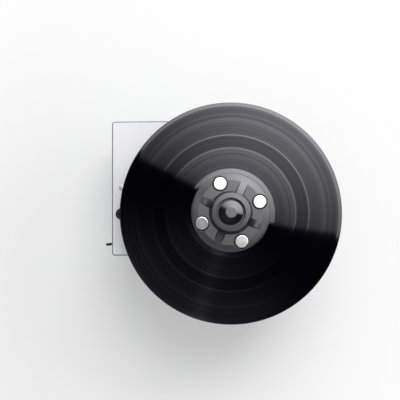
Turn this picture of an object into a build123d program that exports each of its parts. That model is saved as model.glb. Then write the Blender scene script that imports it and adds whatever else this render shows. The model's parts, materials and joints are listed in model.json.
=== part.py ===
from build123d import *
import os
from math import acos, cos, pi, radians, sin, tan

# Compact vacuum record cleaning machine: a sheet-walled case with a motor-driven platter,
# a twelve-inch record on it, a magnetic label clamp, and the suction works inside the case.
# Millimetres. X runs to the right, Y to the back and Z up. The origin lies on the surface the
# machine stands on, under the middle of the outline that the case, record and levers share.

# ---- Driving dimensions ---------------------------------------------------------------------
RECORD_R = 150.8  # twelve-inch record
RECORD_T = 2.0  # at the label
LABEL_R = 50.0
DEAD_WAX_R = 60.0  # inner end of the grooves
LEAD_IN_R = 146.0  # outer end of the grooves

CASE_W, CASE_D, CASE_H = 247.0, 192.3, 162.0
CORNER_R = 4.0
WRAP_T = 2.5  # folded wall sheet
PLATE_T = 3.0  # top, base and rear plates
EDGE_CHAMFER = 1.6  # routed edge of the top plate
FLANGE_W = 16.0  # rear return flanges of the wall sheet

FOOT_H, FOOT_R = 10.0, 13.0
FOOT_RECESS_H, FOOT_RECESS_R = 5.0, 5.5
AXIS_FROM_LEFT, AXIS_FROM_FRONT = 167.8, 58.8  # platter axis within the case
RECORD_LIFT = 44.0  # top of the record above the top plate
LEVER_REACH = 15.7  # switch levers beyond the left wall
RUNNING = 0.04  # radial clearance of a shaft in its bearing

# ---- Places worked out from them ------------------------------------------------------------
CASE_LEFT = (LEVER_REACH - AXIS_FROM_LEFT - RECORD_R) / 2
CASE_RIGHT = CASE_LEFT + CASE_W
CASE_FRONT = -AXIS_FROM_FRONT
CASE_BACK = CASE_FRONT + CASE_D
CASE_MID = ((CASE_LEFT + CASE_RIGHT) / 2, (CASE_FRONT + CASE_BACK) / 2)
AXIS = (CASE_LEFT + AXIS_FROM_LEFT, 0.0)
Z_BASE = FOOT_H
Z_FLOOR = Z_BASE + PLATE_T
Z_TOP = Z_BASE + CASE_H
Z_WRAP = Z_TOP - PLATE_T
Z_RECORD = Z_TOP + RECORD_LIFT
REAR_OUT = CASE_BACK - WRAP_T  # outer face of the rear panel, inside the flanges
REAR_IN = REAR_OUT - PLATE_T

os.makedirs("parts", exist_ok=True)


def keep(piece, label):
    """Names a finished piece and writes it as one node."""
    piece.part.label = label
    export_step(piece.part, f"parts/{label}.step")


def lathe(origin, direction, *points, mode=Mode.ADD):
    """Turns a closed section of (radius, distance along direction) points about a line."""
    side = Vector(0, 1, 0) if direction[1] == 0 else Vector(1, 0, 0)
    section_plane = Plane(origin=origin, x_dir=side, z_dir=side.cross(Vector(direction)))
    with BuildSketch(section_plane) as section:
        with BuildLine():
            Polyline(*points, close=True)
        make_face()
    revolve(section.sketch, axis=Axis(origin, direction), mode=mode)


def turn(centre, *points, mode=Mode.ADD):
    """Turns a closed section of (radius, height) points about the upright axis at centre."""
    lathe((*centre, 0), (0, 0, 1), *points, mode=mode)


def tube(centre, outer_r, inner_r, low, high, mode=Mode.ADD):
    """Upright tube between two heights."""
    turn(centre, (inner_r, low), (outer_r, low), (outer_r, high), (inner_r, high), mode=mode)


def peg(centre, radius, low, high, mode=Mode.ADD):
    """Upright round bar between two heights."""
    turn(centre, (0, low), (radius, low), (radius, high), (0, high), mode=mode)


def block(centre, width, depth, low, high, mode=Mode.ADD):
    """Upright rectangular block between two heights."""
    with BuildSketch(Plane.XY.offset(low)) as outline:
        with Locations(centre):
            Rectangle(width, depth)
    extrude(outline.sketch, amount=high - low, mode=mode)


def polar(centre, radius, angle):
    """Point at a radius and an angle in degrees from centre."""
    return (centre[0] + radius * cos(radians(angle)), centre[1] + radius * sin(radians(angle)))


# ---- Case -----------------------------------------------------------------------------------
SWITCH_Y = -43.7
SWITCH_Z = (Z_TOP - 45.0, Z_TOP - 72.0)  # motor switch above, vacuum switch below
SWITCH_BUSH_R = 3.0

with BuildPart() as case_wrap:
    with BuildSketch(Plane.XY.offset(Z_BASE)):
        with Locations(CASE_MID):
            RectangleRounded(CASE_W, CASE_D, CORNER_R)
            inner_size = (CASE_W - 2 * WRAP_T, CASE_D - 2 * WRAP_T)
            RectangleRounded(*inner_size, CORNER_R - WRAP_T, mode=Mode.SUBTRACT)
        with Locations((CASE_MID[0], CASE_BACK)):
            Rectangle(CASE_W - 2 * FLANGE_W, 4 * WRAP_T, mode=Mode.SUBTRACT)
    extrude(amount=Z_WRAP - Z_BASE)
    with Locations(*[Plane((CASE_LEFT, SWITCH_Y, z), z_dir=(-1, 0, 0)) for z in SWITCH_Z]):
        Hole(SWITCH_BUSH_R, depth=2 * WRAP_T)
keep(case_wrap, "case_wrap")

FOOT_INSET = 24.0
FOOT_PLACES = {
    "front_left": (CASE_LEFT + FOOT_INSET, CASE_FRONT + FOOT_INSET),
    "front_right": (CASE_RIGHT - FOOT_INSET, CASE_FRONT + FOOT_INSET),
    "rear_left": (CASE_LEFT + FOOT_INSET, CASE_BACK - FOOT_INSET),
    "rear_right": (CASE_RIGHT - FOOT_INSET, CASE_BACK - FOOT_INSET),
}
POST = 9.0  # square corner posts
POST_BACK = REAR_IN - POST / 2
POST_PLACES = [
    (x, y)
    for x in (CASE_LEFT + WRAP_T + POST / 2, CASE_RIGHT - WRAP_T - POST / 2)
    for y in (CASE_FRONT + WRAP_T + POST / 2, POST_BACK)
]

with BuildPart() as base_plate:
    with BuildSketch(Plane.XY.offset(Z_BASE)):
        with Locations(CASE_MID):
            RectangleRounded(*inner_size, CORNER_R - WRAP_T)
    extrude(amount=PLATE_T)
keep(base_plate, "base_plate")

with BuildPart() as corner_posts:
    with BuildSketch(Plane.XY.offset(Z_FLOOR)):
        with Locations(*POST_PLACES):
            RectangleRounded(POST, POST, CORNER_R - WRAP_T + 0.1)
    extrude(amount=Z_WRAP - Z_FLOOR)
keep(corner_posts, "corner_posts")

ARM_STEM_R, SOCKET_BODY_R, SOCKET_FLANGE_R = 3.75, 5.5, 7.8
ARM_CLEAR = 0.15  # lets the suction arm drop in past the record's edge
SOCKET = (AXIS[0] - RECORD_R - ARM_STEM_R - ARM_CLEAR, 0.6)
LID_SCREW_INSET = 14.1
LID_SCREW_Y = CASE_BACK - 95.5
LID_SCREWS = [
    (CASE_LEFT + LID_SCREW_INSET, LID_SCREW_Y),
    (CASE_RIGHT - LID_SCREW_INSET, LID_SCREW_Y),
]
LID_SCREW_R = 2.0
BUSH_R, SHAFT_R = 8.0, 5.0

# Gear train: output wheel on the platter shaft, compound idler, motor pinion.
PRESSURE = 25.0  # degrees
OUTPUT_TEETH, PINION_TEETH = 48, 12
OUTPUT_MODULE, INPUT_MODULE = 1.0, 0.8
IDLER_ANGLE, MOTOR_ANGLE = -30.0, 190.0  # axis to idler, idler to motor
IDLER = polar(AXIS, OUTPUT_MODULE * (OUTPUT_TEETH + PINION_TEETH) / 2, IDLER_ANGLE)
MOTOR = polar(IDLER, INPUT_MODULE * (OUTPUT_TEETH + PINION_TEETH) / 2, MOTOR_ANGLE)
GEARBOX_MID = ((AXIS[0] + IDLER[0]) / 2, (AXIS[1] + IDLER[1]) / 2)
GEARBOX_FRAME = Plane((*GEARBOX_MID, 0), x_dir=(*polar((0, 0), 1, IDLER_ANGLE), 0))
GEARBOX_R, GEARBOX_WALL, GEARBOX_FLANGE_R = 28.5, 2.5, 34.0
GEARBOX_SPAN = 30.0  # between the slot centres of its outline

with BuildPart() as top_plate:
    with BuildSketch(Plane.XY.offset(Z_WRAP)):
        with Locations(CASE_MID):
            RectangleRounded(CASE_W, CASE_D, CORNER_R)
        with Locations(AXIS):
            Circle(BUSH_R, mode=Mode.SUBTRACT)
        with Locations(SOCKET):
            Circle(SOCKET_BODY_R, mode=Mode.SUBTRACT)
        with Locations(*LID_SCREWS):
            Circle(LID_SCREW_R, mode=Mode.SUBTRACT)
    extrude(amount=PLATE_T)
    chamfer(top_plate.faces().sort_by(Axis.Z)[-1].outer_wire().edges(), EDGE_CHAMFER)
keep(top_plate, "top_plate")

BRACKET_W, BRACKET_T, BRACKET_DROP, BRACKET_REACH = 28.0, 2.5, 30.0, 24.0
NUT_AF, NUT_T = 7.0, 3.2

with BuildPart() as lid_brackets:
    for wall_x, inward, screw in (
        (CASE_LEFT + WRAP_T, 1, LID_SCREWS[0]),
        (CASE_RIGHT - WRAP_T, -1, LID_SCREWS[1]),
    ):
        with BuildSketch(Plane.XZ.offset(-LID_SCREW_Y)) as angle:
            with BuildLine():
                Polyline(
                    (wall_x, Z_WRAP - BRACKET_DROP),
                    (wall_x, Z_WRAP),
                    (wall_x + inward * BRACKET_REACH, Z_WRAP),
                    (wall_x + inward * BRACKET_REACH, Z_WRAP - BRACKET_T),
                    (wall_x + inward * BRACKET_T, Z_WRAP - BRACKET_T),
                    (wall_x + inward * BRACKET_T, Z_WRAP - BRACKET_DROP),
                    close=True,
                )
            make_face()
        extrude(angle.sketch, amount=BRACKET_W / 2, both=True)
        with BuildSketch(Plane.XY.offset(Z_WRAP - BRACKET_T)) as weld_nut:
            with Locations(screw):
                RegularPolygon(NUT_AF / 2, 6, major_radius=False)
        extrude(weld_nut.sketch, amount=-NUT_T)
        peg(screw, LID_SCREW_R, Z_WRAP - BRACKET_T - NUT_T, Z_WRAP, mode=Mode.SUBTRACT)
keep(lid_brackets, "lid_brackets")


def button_screw(centre, shank_r, head_r, head_h, seat, length, socket_af):
    """Upright button-head socket screw with its head on the face at height seat."""
    crown_r = 0.55 * head_r
    turn(
        centre,
        (0, seat - length),
        (shank_r, seat - length),
        (shank_r, seat),
        (head_r, seat),
        (head_r, seat + 0.25 * head_h),
        (0.85 * head_r, seat + 0.75 * head_h),
        (crown_r, seat + head_h),
        (0, seat + head_h),
    )
    with BuildSketch(Plane.XY.offset(seat + head_h)) as socket:
        with Locations(centre):
            RegularPolygon(socket_af / 2, 6, major_radius=False)
    extrude(socket.sketch, amount=-0.6 * head_h, mode=Mode.SUBTRACT)


with BuildPart() as lid_screws:
    for place in LID_SCREWS:
        button_screw(place, LID_SCREW_R, 3.7, 2.2, Z_TOP, 8.0, 2.5)
keep(lid_screws, "lid_screws")

for place_name, place in FOOT_PLACES.items():
    with BuildPart() as foot:
        turn(
            place,
            (0, FOOT_H),
            (0, FOOT_RECESS_H),
            (FOOT_RECESS_R, FOOT_RECESS_H),
            (FOOT_RECESS_R, 0),
            (FOOT_R - 2.2, 0),
            (FOOT_R - 1.2, 0.8),
            (FOOT_R, FOOT_H),
        )
    keep(foot, f"foot_{place_name}")

# ---- Rear panel and what it carries ---------------------------------------------------------
INLET = (CASE_LEFT + 133.0, 46.0)  # X and Z on the rear panel
INLET_BODY = (27.0, 19.5)
INLET_FLANGE = (50.0, 24.0)
INLET_FLANGE_T, INLET_DEPTH, RECESS_DEPTH = 2.2, 22.0, 17.0
RECESS = (24.0, 16.4)
ROCKER = (CASE_LEFT + 133.0, 84.0)
ROCKER_BODY = (14.6, 21.0)
ROCKER_FLANGE = (18.0, 24.0)
GRILLE = (CASE_LEFT + 196.0, 58.0)
GRILLE_SLOTS, GRILLE_PITCH, SLOT_W, SLOT_H = 8, 8.0, 4.0, 48.0
DRAIN = (CASE_LEFT + 46.0, 27.0)
DRAIN_R, DRAIN_BORE_R = 6.0, 4.0
REAR_GAP = 1.6  # clears the bends of the wall sheet

with BuildPart() as rear_panel:
    with BuildSketch(Plane.XZ.offset(-REAR_OUT)):
        with Locations((CASE_MID[0], (Z_FLOOR + Z_WRAP) / 2)):
            Rectangle(CASE_W - 2 * WRAP_T - 2 * REAR_GAP, Z_WRAP - Z_FLOOR)
        with Locations(INLET):
            Rectangle(*INLET_BODY, mode=Mode.SUBTRACT)
        with Locations(ROCKER):
            Rectangle(*ROCKER_BODY, mode=Mode.SUBTRACT)
        with Locations(DRAIN):
            Circle(DRAIN_R, mode=Mode.SUBTRACT)
        with Locations(GRILLE):
            with GridLocations(GRILLE_PITCH, 0, GRILLE_SLOTS, 1):
                SlotOverall(SLOT_H, SLOT_W, rotation=90, mode=Mode.SUBTRACT)
    extrude(amount=PLATE_T)
keep(rear_panel, "rear_panel")

with BuildPart() as mains_inlet:
    with BuildSketch(Plane.XZ.offset(-REAR_OUT - INLET_FLANGE_T)) as flange:
        with Locations(INLET):
            RectangleRounded(*INLET_FLANGE, 4)
    extrude(flange.sketch, amount=INLET_FLANGE_T)
    with BuildSketch(Plane.XZ.offset(-REAR_OUT)) as body:
        with Locations(INLET):
            Rectangle(*INLET_BODY)
    extrude(body.sketch, amount=INLET_DEPTH)
    with BuildSketch(Plane.XZ.offset(-REAR_OUT - INLET_FLANGE_T)) as recess:
        with Locations(INLET):
            Rectangle(*RECESS)
        chamfer(recess.vertices().group_by(Axis.Z)[-1], 3.5)
    extrude(recess.sketch, amount=RECESS_DEPTH, mode=Mode.SUBTRACT)
keep(mains_inlet, "mains_inlet")

PIN_W, PIN_H, PIN_L = 2.0, 4.0, 16.0
PIN_ROOT = REAR_OUT + INLET_FLANGE_T - RECESS_DEPTH

with BuildPart() as inlet_pins:
    with BuildSketch(Plane.XZ.offset(-PIN_ROOT)) as blades:
        with Locations(INLET):
            with Locations((-7, 0.5), (7, 0.5), (0, 4.5)):
                Rectangle(PIN_W, PIN_H)
    extrude(blades.sketch, amount=-PIN_L)
    chamfer(inlet_pins.faces().sort_by(Axis.Y)[-1].edges(), 0.5)
keep(inlet_pins, "inlet_pins")

ROCKER_PIVOT_Y = REAR_OUT - 3.0
ROCKER_TILT = 9.0
ROCKER_WINDOW = (12.4, 18.4)
CAP_W, CAP_L, CAP_H, CAP_DISH = 11.2, 16.0, 6.2, 1.2
TRUNNION_R, TRUNNION_L = 1.4, 12.2

with BuildPart() as rocker_frame:
    with BuildSketch(Plane.XZ.offset(-REAR_OUT - 2)) as rocker_flange:
        with Locations(ROCKER):
            RectangleRounded(*ROCKER_FLANGE, 1.5)
    extrude(rocker_flange.sketch, amount=2)
    with BuildSketch(Plane.XZ.offset(-REAR_OUT)) as rocker_well:
        with Locations(ROCKER):
            Rectangle(*ROCKER_BODY)
    extrude(rocker_well.sketch, amount=16)
    with BuildSketch(Plane.XZ.offset(-REAR_OUT - 2)) as window:
        with Locations(ROCKER):
            Rectangle(*ROCKER_WINDOW)
    extrude(window.sketch, amount=13, mode=Mode.SUBTRACT)
keep(rocker_frame, "rocker_frame")

rocker_out = (0, cos(radians(ROCKER_TILT)), sin(radians(ROCKER_TILT)))
ROCKER_SECTION = Plane((ROCKER[0], ROCKER_PIVOT_Y, ROCKER[1]), x_dir=rocker_out, z_dir=(1, 0, 0))

with BuildPart() as power_rocker:  # dished see-saw cap with its upper half pressed in: off
    with BuildSketch(ROCKER_SECTION) as cap:
        with BuildLine():
            Polyline((CAP_H, CAP_L / 2), (0, CAP_L / 2), (0, -CAP_L / 2), (CAP_H, -CAP_L / 2))
            ThreePointArc((CAP_H, -CAP_L / 2), (CAP_H - CAP_DISH, 0), (CAP_H, CAP_L / 2))
        make_face()
    extrude(cap.sketch, amount=CAP_W / 2, both=True)
    lathe(
        (ROCKER[0], ROCKER_PIVOT_Y, ROCKER[1]),
        (1, 0, 0),
        (0, -TRUNNION_L / 2),
        (TRUNNION_R, -TRUNNION_L / 2),
        (TRUNNION_R, TRUNNION_L / 2),
        (0, TRUNNION_L / 2),
    )
keep(power_rocker, "power_rocker")

# ---- Suction: arm socket, hose, waste tank --------------------------------------------------
SOCKET_FLANGE_H, SOCKET_LOW = 2.6, 150.0
SEAL_SEAT_R, SEAL_H = 5.4, 1.2

with BuildPart() as arm_socket:
    turn(
        SOCKET,
        (ARM_STEM_R, SOCKET_LOW),
        (SOCKET_BODY_R, SOCKET_LOW),
        (SOCKET_BODY_R, Z_TOP),
        (SOCKET_FLANGE_R, Z_TOP),
        (SOCKET_FLANGE_R, Z_TOP + SOCKET_FLANGE_H - 1.2),
        (SOCKET_FLANGE_R - 1.2, Z_TOP + SOCKET_FLANGE_H),
        (SEAL_SEAT_R, Z_TOP + SOCKET_FLANGE_H),
        (SEAL_SEAT_R, Z_TOP + SOCKET_FLANGE_H - SEAL_H),
        (ARM_STEM_R, Z_TOP + SOCKET_FLANGE_H - SEAL_H),
    )
keep(arm_socket, "arm_socket")

with BuildPart() as arm_seal:
    tube(SOCKET, SEAL_SEAT_R, ARM_STEM_R, Z_TOP + SOCKET_FLANGE_H - SEAL_H, Z_TOP + SOCKET_FLANGE_H)
keep(arm_seal, "arm_seal")

with BuildPart() as socket_nut:
    with BuildSketch(Plane.XY.offset(Z_WRAP)):
        with Locations(SOCKET):
            RegularPolygon(8.5, 6, major_radius=False)
            Circle(SOCKET_BODY_R, mode=Mode.SUBTRACT)
    extrude(amount=-5)
keep(socket_nut, "socket_nut")

TANK = (CASE_LEFT + 5.0, CASE_LEFT + 117.0, CASE_FRONT + 33.0, CASE_FRONT + 171.0)
TANK_SIZE = (TANK[1] - TANK[0], TANK[3] - TANK[2])
TANK_MID = ((TANK[0] + TANK[1]) / 2, (TANK[2] + TANK[3]) / 2)
TANK_R, TANK_WALL, TANK_TOP = 8.0, 2.5, 128.0
GASKET_T, TANK_LID_T, RIM_W = 1.5, 3.0, 3.0
Z_LID = TANK_TOP + GASKET_T
Z_LID_TOP = Z_LID + TANK_LID_T
DUCT_UP = (CASE_LEFT + 88.0, CASE_FRONT + 145.0)  # air leaves the tank here
DUCT_R, DUCT_BORE_R, DUCT_Z = 13.0, 10.5, 152.0
COLLAR_H = 5.0
COLLAR_BORE_R = 8.5

with BuildPart() as waste_tank:
    with BuildSketch(Plane.XY.offset(Z_FLOOR)) as tank_outline:
        with Locations(TANK_MID):
            RectangleRounded(*TANK_SIZE, TANK_R)
    extrude(tank_outline.sketch, amount=TANK_TOP - Z_FLOOR)
    with BuildSketch(Plane.XY.offset(Z_FLOOR + TANK_WALL)) as tank_inside:
        with Locations(TANK_MID):
            cavity = (TANK_SIZE[0] - 2 * TANK_WALL, TANK_SIZE[1] - 2 * TANK_WALL)
            RectangleRounded(*cavity, TANK_R - TANK_WALL)
    extrude(tank_inside.sketch, amount=TANK_TOP - Z_FLOOR - TANK_WALL, mode=Mode.SUBTRACT)
    with BuildSketch(Plane.XZ.offset(-TANK[3])) as drain_hole:
        with Locations(DRAIN):
            Circle(DRAIN_R)
    extrude(drain_hole.sketch, amount=TANK_WALL, mode=Mode.SUBTRACT)
keep(waste_tank, "waste_tank")

with BuildPart() as tank_gasket:
    with BuildSketch(Plane.XY.offset(TANK_TOP)):
        with Locations(TANK_MID):
            RectangleRounded(*TANK_SIZE, TANK_R)
            gasket_inside = (TANK_SIZE[0] - 2 * RIM_W, TANK_SIZE[1] - 2 * RIM_W)
            RectangleRounded(*gasket_inside, TANK_R - TANK_WALL, mode=Mode.SUBTRACT)
    extrude(amount=GASKET_T)
keep(tank_gasket, "tank_gasket")

INLET_SPIGOT_R, INLET_BORE_R = 5.5, 3.5

with BuildPart() as tank_lid:
    with BuildSketch(Plane.XY.offset(Z_LID)) as lid_outline:
        with Locations(TANK_MID):
            RectangleRounded(*TANK_SIZE, TANK_R)
    extrude(lid_outline.sketch, amount=TANK_LID_T)
    tube(SOCKET, INLET_SPIGOT_R, INLET_BORE_R, Z_LID - 22, Z_LID_TOP + 8)
    tube(DUCT_UP, DUCT_BORE_R, COLLAR_BORE_R, Z_LID, Z_LID_TOP + COLLAR_H)
    peg(SOCKET, INLET_BORE_R, Z_LID, Z_LID_TOP, mode=Mode.SUBTRACT)
    peg(DUCT_UP, COLLAR_BORE_R, Z_LID, Z_LID_TOP, mode=Mode.SUBTRACT)
    # splash baffle between the incoming fluid and the air outlet
    block(((SOCKET[0] + DUCT_UP[0]) / 2, TANK_MID[1]), 2.5, cavity[1] - 14, Z_LID - 45, Z_LID)
keep(tank_lid, "tank_lid")

with BuildPart() as suction_hose:
    tube(SOCKET, SOCKET_BODY_R + 2, SOCKET_BODY_R, Z_LID_TOP, SOCKET_LOW + 8)
keep(suction_hose, "suction_hose")

DRAIN_TIP = REAR_OUT + 11.5
CAP_BORE_R, CAP_R = 6.08, 8.4
CAP_TRAVEL_CLEAR = 1.5

with BuildPart() as drain_outlet:
    lathe(
        (DRAIN[0], 0, DRAIN[1]),
        (0, 1, 0),
        (DRAIN_BORE_R, TANK[3] - TANK_WALL),
        (DRAIN_R, TANK[3] - TANK_WALL),
        (DRAIN_R, TANK[3]),
        (DRAIN_R + 3, TANK[3]),
        (DRAIN_R + 3, TANK[3] + 3),
        (DRAIN_R, TANK[3] + 3),
        (DRAIN_R, DRAIN_TIP - 1),
        (DRAIN_R - 0.8, DRAIN_TIP),
        (DRAIN_BORE_R, DRAIN_TIP),
    )
keep(drain_outlet, "drain_outlet")

with BuildPart() as drain_cap:
    lathe(
        (DRAIN[0], 0, DRAIN[1]),
        (0, 1, 0),
        (0, DRAIN_TIP + 0.5),
        (CAP_BORE_R, DRAIN_TIP + 0.5),
        (CAP_BORE_R, REAR_OUT + CAP_TRAVEL_CLEAR),
        (CAP_R, REAR_OUT + CAP_TRAVEL_CLEAR),
        (CAP_R, DRAIN_TIP + 2),
        (CAP_R - 1, DRAIN_TIP + 3),
        (0, DRAIN_TIP + 3),
    )
    with BuildSketch(Plane.XZ.offset(-REAR_OUT - CAP_TRAVEL_CLEAR)) as grips:
        with Locations(DRAIN):
            with PolarLocations(CAP_R, 6):
                Circle(0.9)
    extrude(grips.sketch, amount=-(DRAIN_TIP + 2 - REAR_OUT - CAP_TRAVEL_CLEAR), mode=Mode.SUBTRACT)
keep(drain_cap, "drain_cap")

# ---- Vacuum unit: brushed motor below, centrifugal fan above --------------------------------
VAC = (CASE_LEFT + 186.0, CASE_FRONT + 134.0)
MOUNT_H = 6.0
FRAME_R, FRAME_WALL = 38.0, 2.5
Z_FRAME = Z_FLOOR + MOUNT_H
Z_FAN = 87.0
FAN_R, FAN_WALL, FAN_H = 50.0, 2.5, 34.0
Z_FAN_TOP = Z_FAN + FAN_H
ROTOR_SHAFT_R, BEARING_R, BEARING_H = 4.0, 9.0, 7.0
Z_LOW_BEARING, Z_HIGH_BEARING = Z_FRAME + 4, Z_FAN - 6
IMPELLER_R, EYE_R, BLADES, BLADE_T, SHROUD_T = 44.0, 13.0, 8, 1.6, 1.5
Z_IMPELLER, BLADE_H = Z_FAN + 6, 10.0
CORE_LOW, CORE_HIGH, CORE_R, AIR_GAP = 38.0, 64.0, 24.0, 0.8

with BuildPart() as air_duct:
    with BuildLine() as duct_run:
        Polyline((*DUCT_UP, Z_LID_TOP), (*DUCT_UP, DUCT_Z), (*VAC, DUCT_Z), (*VAC, Z_FAN_TOP))
    with BuildSketch(Plane(origin=(*DUCT_UP, Z_LID_TOP), z_dir=(0, 0, 1))):
        Circle(DUCT_R)
        Circle(DUCT_BORE_R, mode=Mode.SUBTRACT)
    sweep(path=duct_run.line, transition=Transition.RIGHT)
keep(air_duct, "air_duct")

with BuildPart() as mount_ring:
    turn(
        VAC,
        (28, Z_FLOOR),
        (42, Z_FLOOR),
        (42, Z_FLOOR + 9),
        (FRAME_R, Z_FLOOR + 9),
        (FRAME_R, Z_FRAME),
        (28, Z_FRAME),
    )
keep(mount_ring, "mount_ring")

with BuildPart() as vacuum_frame:
    turn(
        VAC,
        (0, Z_FRAME),
        (FRAME_R, Z_FRAME),
        (FRAME_R, Z_FAN),
        (FRAME_R - FRAME_WALL, Z_FAN),
        (FRAME_R - FRAME_WALL, Z_FRAME + 3),
        (BEARING_R + 2.5, Z_FRAME + 3),
        (BEARING_R + 2.5, Z_LOW_BEARING + BEARING_H),
        (BEARING_R, Z_LOW_BEARING + BEARING_H),
        (BEARING_R, Z_LOW_BEARING),
        (0, Z_LOW_BEARING),
    )
    with Locations((*VAC, CORE_HIGH + 9)):
        with PolarLocations(FRAME_R, 4):  # cooling windows round the brushes
            Box(8, 20, 11, mode=Mode.SUBTRACT)
keep(vacuum_frame, "vacuum_frame")

with BuildPart() as field_stator:
    with BuildSketch(Plane.XY.offset(CORE_LOW)) as yoke:
        with Locations(VAC):
            Circle(FRAME_R - FRAME_WALL)
            Circle(CORE_R + AIR_GAP, mode=Mode.SUBTRACT)
    extrude(yoke.sketch, amount=CORE_HIGH - CORE_LOW)
    with BuildSketch(Plane.XY.offset(CORE_LOW)) as winding_space:
        with Locations(VAC):
            Circle(FRAME_R - FRAME_WALL - 4.5)
            Rectangle(2 * FRAME_R, 30, mode=Mode.INTERSECT)
    extrude(winding_space.sketch, amount=CORE_HIGH - CORE_LOW, mode=Mode.SUBTRACT)
keep(field_stator, "field_stator")

SHAFT_LOW, SHAFT_HIGH = Z_LOW_BEARING + 0.3, Z_IMPELLER + BLADE_H + 6
COMMUTATOR_R, COMMUTATOR_LOW, COMMUTATOR_H = 11.0, CORE_HIGH + 4, 10.0
CORE_SLOTS = 8

with BuildPart() as armature:  # slotted core, commutator and shaft
    peg(VAC, ROTOR_SHAFT_R, SHAFT_LOW, SHAFT_HIGH)
    peg(VAC, CORE_R, CORE_LOW, CORE_HIGH)
    peg(VAC, COMMUTATOR_R, CORE_HIGH, COMMUTATOR_LOW + COMMUTATOR_H)
    with BuildSketch(Plane.XY.offset(CORE_LOW)) as core_slots:
        with Locations(VAC):
            with PolarLocations(CORE_R - 4, CORE_SLOTS):
                Rectangle(9, 2.6)
    extrude(core_slots.sketch, amount=CORE_HIGH - CORE_LOW, mode=Mode.SUBTRACT)
keep(armature, "armature")

with BuildPart() as rotor_bearings:
    for low in (Z_LOW_BEARING, Z_HIGH_BEARING):
        tube(VAC, BEARING_R, ROTOR_SHAFT_R + RUNNING, low, low + BEARING_H)
keep(rotor_bearings, "rotor_bearings")

EXHAUST_PORTS = 4

with BuildPart() as fan_housing:
    turn(
        VAC,
        (ROTOR_SHAFT_R + 1, Z_FAN + 1),
        (BEARING_R, Z_FAN + 1),
        (BEARING_R, Z_HIGH_BEARING),
        (BEARING_R + 2.5, Z_HIGH_BEARING),
        (BEARING_R + 2.5, Z_FAN),
        (FAN_R, Z_FAN),
        (FAN_R, Z_FAN_TOP),
        (DUCT_BORE_R, Z_FAN_TOP),
        (DUCT_BORE_R, Z_FAN_TOP + COLLAR_H),
        (COLLAR_BORE_R, Z_FAN_TOP + COLLAR_H),
        (COLLAR_BORE_R, Z_FAN_TOP - FAN_WALL),
        (FAN_R - FAN_WALL, Z_FAN_TOP - FAN_WALL),
        (FAN_R - FAN_WALL, Z_FAN + 3),
        (ROTOR_SHAFT_R + 1, Z_FAN + 3),
    )
    with Locations((*VAC, Z_FAN + FAN_H / 2)):
        with PolarLocations(FAN_R, EXHAUST_PORTS, start_angle=15):
            Box(8, 22, 8, mode=Mode.SUBTRACT)
keep(fan_housing, "fan_housing")

with BuildPart() as fan_impeller:  # backward-curved blades between two discs
    tube(VAC, IMPELLER_R, ROTOR_SHAFT_R, Z_IMPELLER, Z_IMPELLER + 2)
    tube(VAC, ROTOR_SHAFT_R + 4, ROTOR_SHAFT_R, Z_IMPELLER, Z_IMPELLER + 2 + BLADE_H)
    tube(VAC, IMPELLER_R, EYE_R, Z_IMPELLER + 2 + BLADE_H, Z_IMPELLER + 2 + BLADE_H + SHROUD_T)
    with BuildSketch(Plane.XY.offset(Z_IMPELLER + 2)) as blades:
        for blade in range(BLADES):
            turned = 360 / BLADES * blade
            with BuildLine():
                start = polar(VAC, EYE_R + 1, turned)
                bend = polar(VAC, 28, turned + 16)
                end = polar(VAC, IMPELLER_R - 0.4, turned + 52)
                inner_bend = ThreePointArc(start, bend, end)
                edge = inner_bend % 1
                offset_end = (end[0] - BLADE_T * edge.Y, end[1] + BLADE_T * edge.X)
                Line(end, offset_end)
                root = inner_bend % 0
                offset_start = (start[0] - BLADE_T * root.Y, start[1] + BLADE_T * root.X)
                middle = inner_bend @ 0.5
                slope = inner_bend % 0.5
                offset_bend = (middle.X - BLADE_T * slope.Y, middle.Y + BLADE_T * slope.X)
                ThreePointArc(offset_end, offset_bend, offset_start)
                Line(offset_start, start)
            make_face()
    extrude(blades.sketch, amount=BLADE_H)
keep(fan_impeller, "fan_impeller")

# ---- Platter drive --------------------------------------------------------------------------
Z_GEARBOX = 142.0
GEARBOX_FLOOR_T, GEARBOX_LID_T = 3.0, 6.0
Z_GEARBOX_LID = Z_WRAP - GEARBOX_LID_T
Z_INPUT = Z_GEARBOX + 4.0  # first stage
Z_OUTPUT = Z_INPUT + 7.0  # second stage, above it
INPUT_FACE, OUTPUT_FACE = 5.0, 7.0
LOW_BUSH_R, LOW_BUSH_H, LOW_BOSS_R = 7.0, 8.0, 9.2
IDLER_PIN_R, MOTOR_SHAFT_R, MOTOR_R, MOTOR_H = 2.0, 2.0, 24.0, 40.0
ADDENDUM, DEDENDUM = 0.9, 1.15  # of the module
BACKLASH = 0.18


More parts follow.
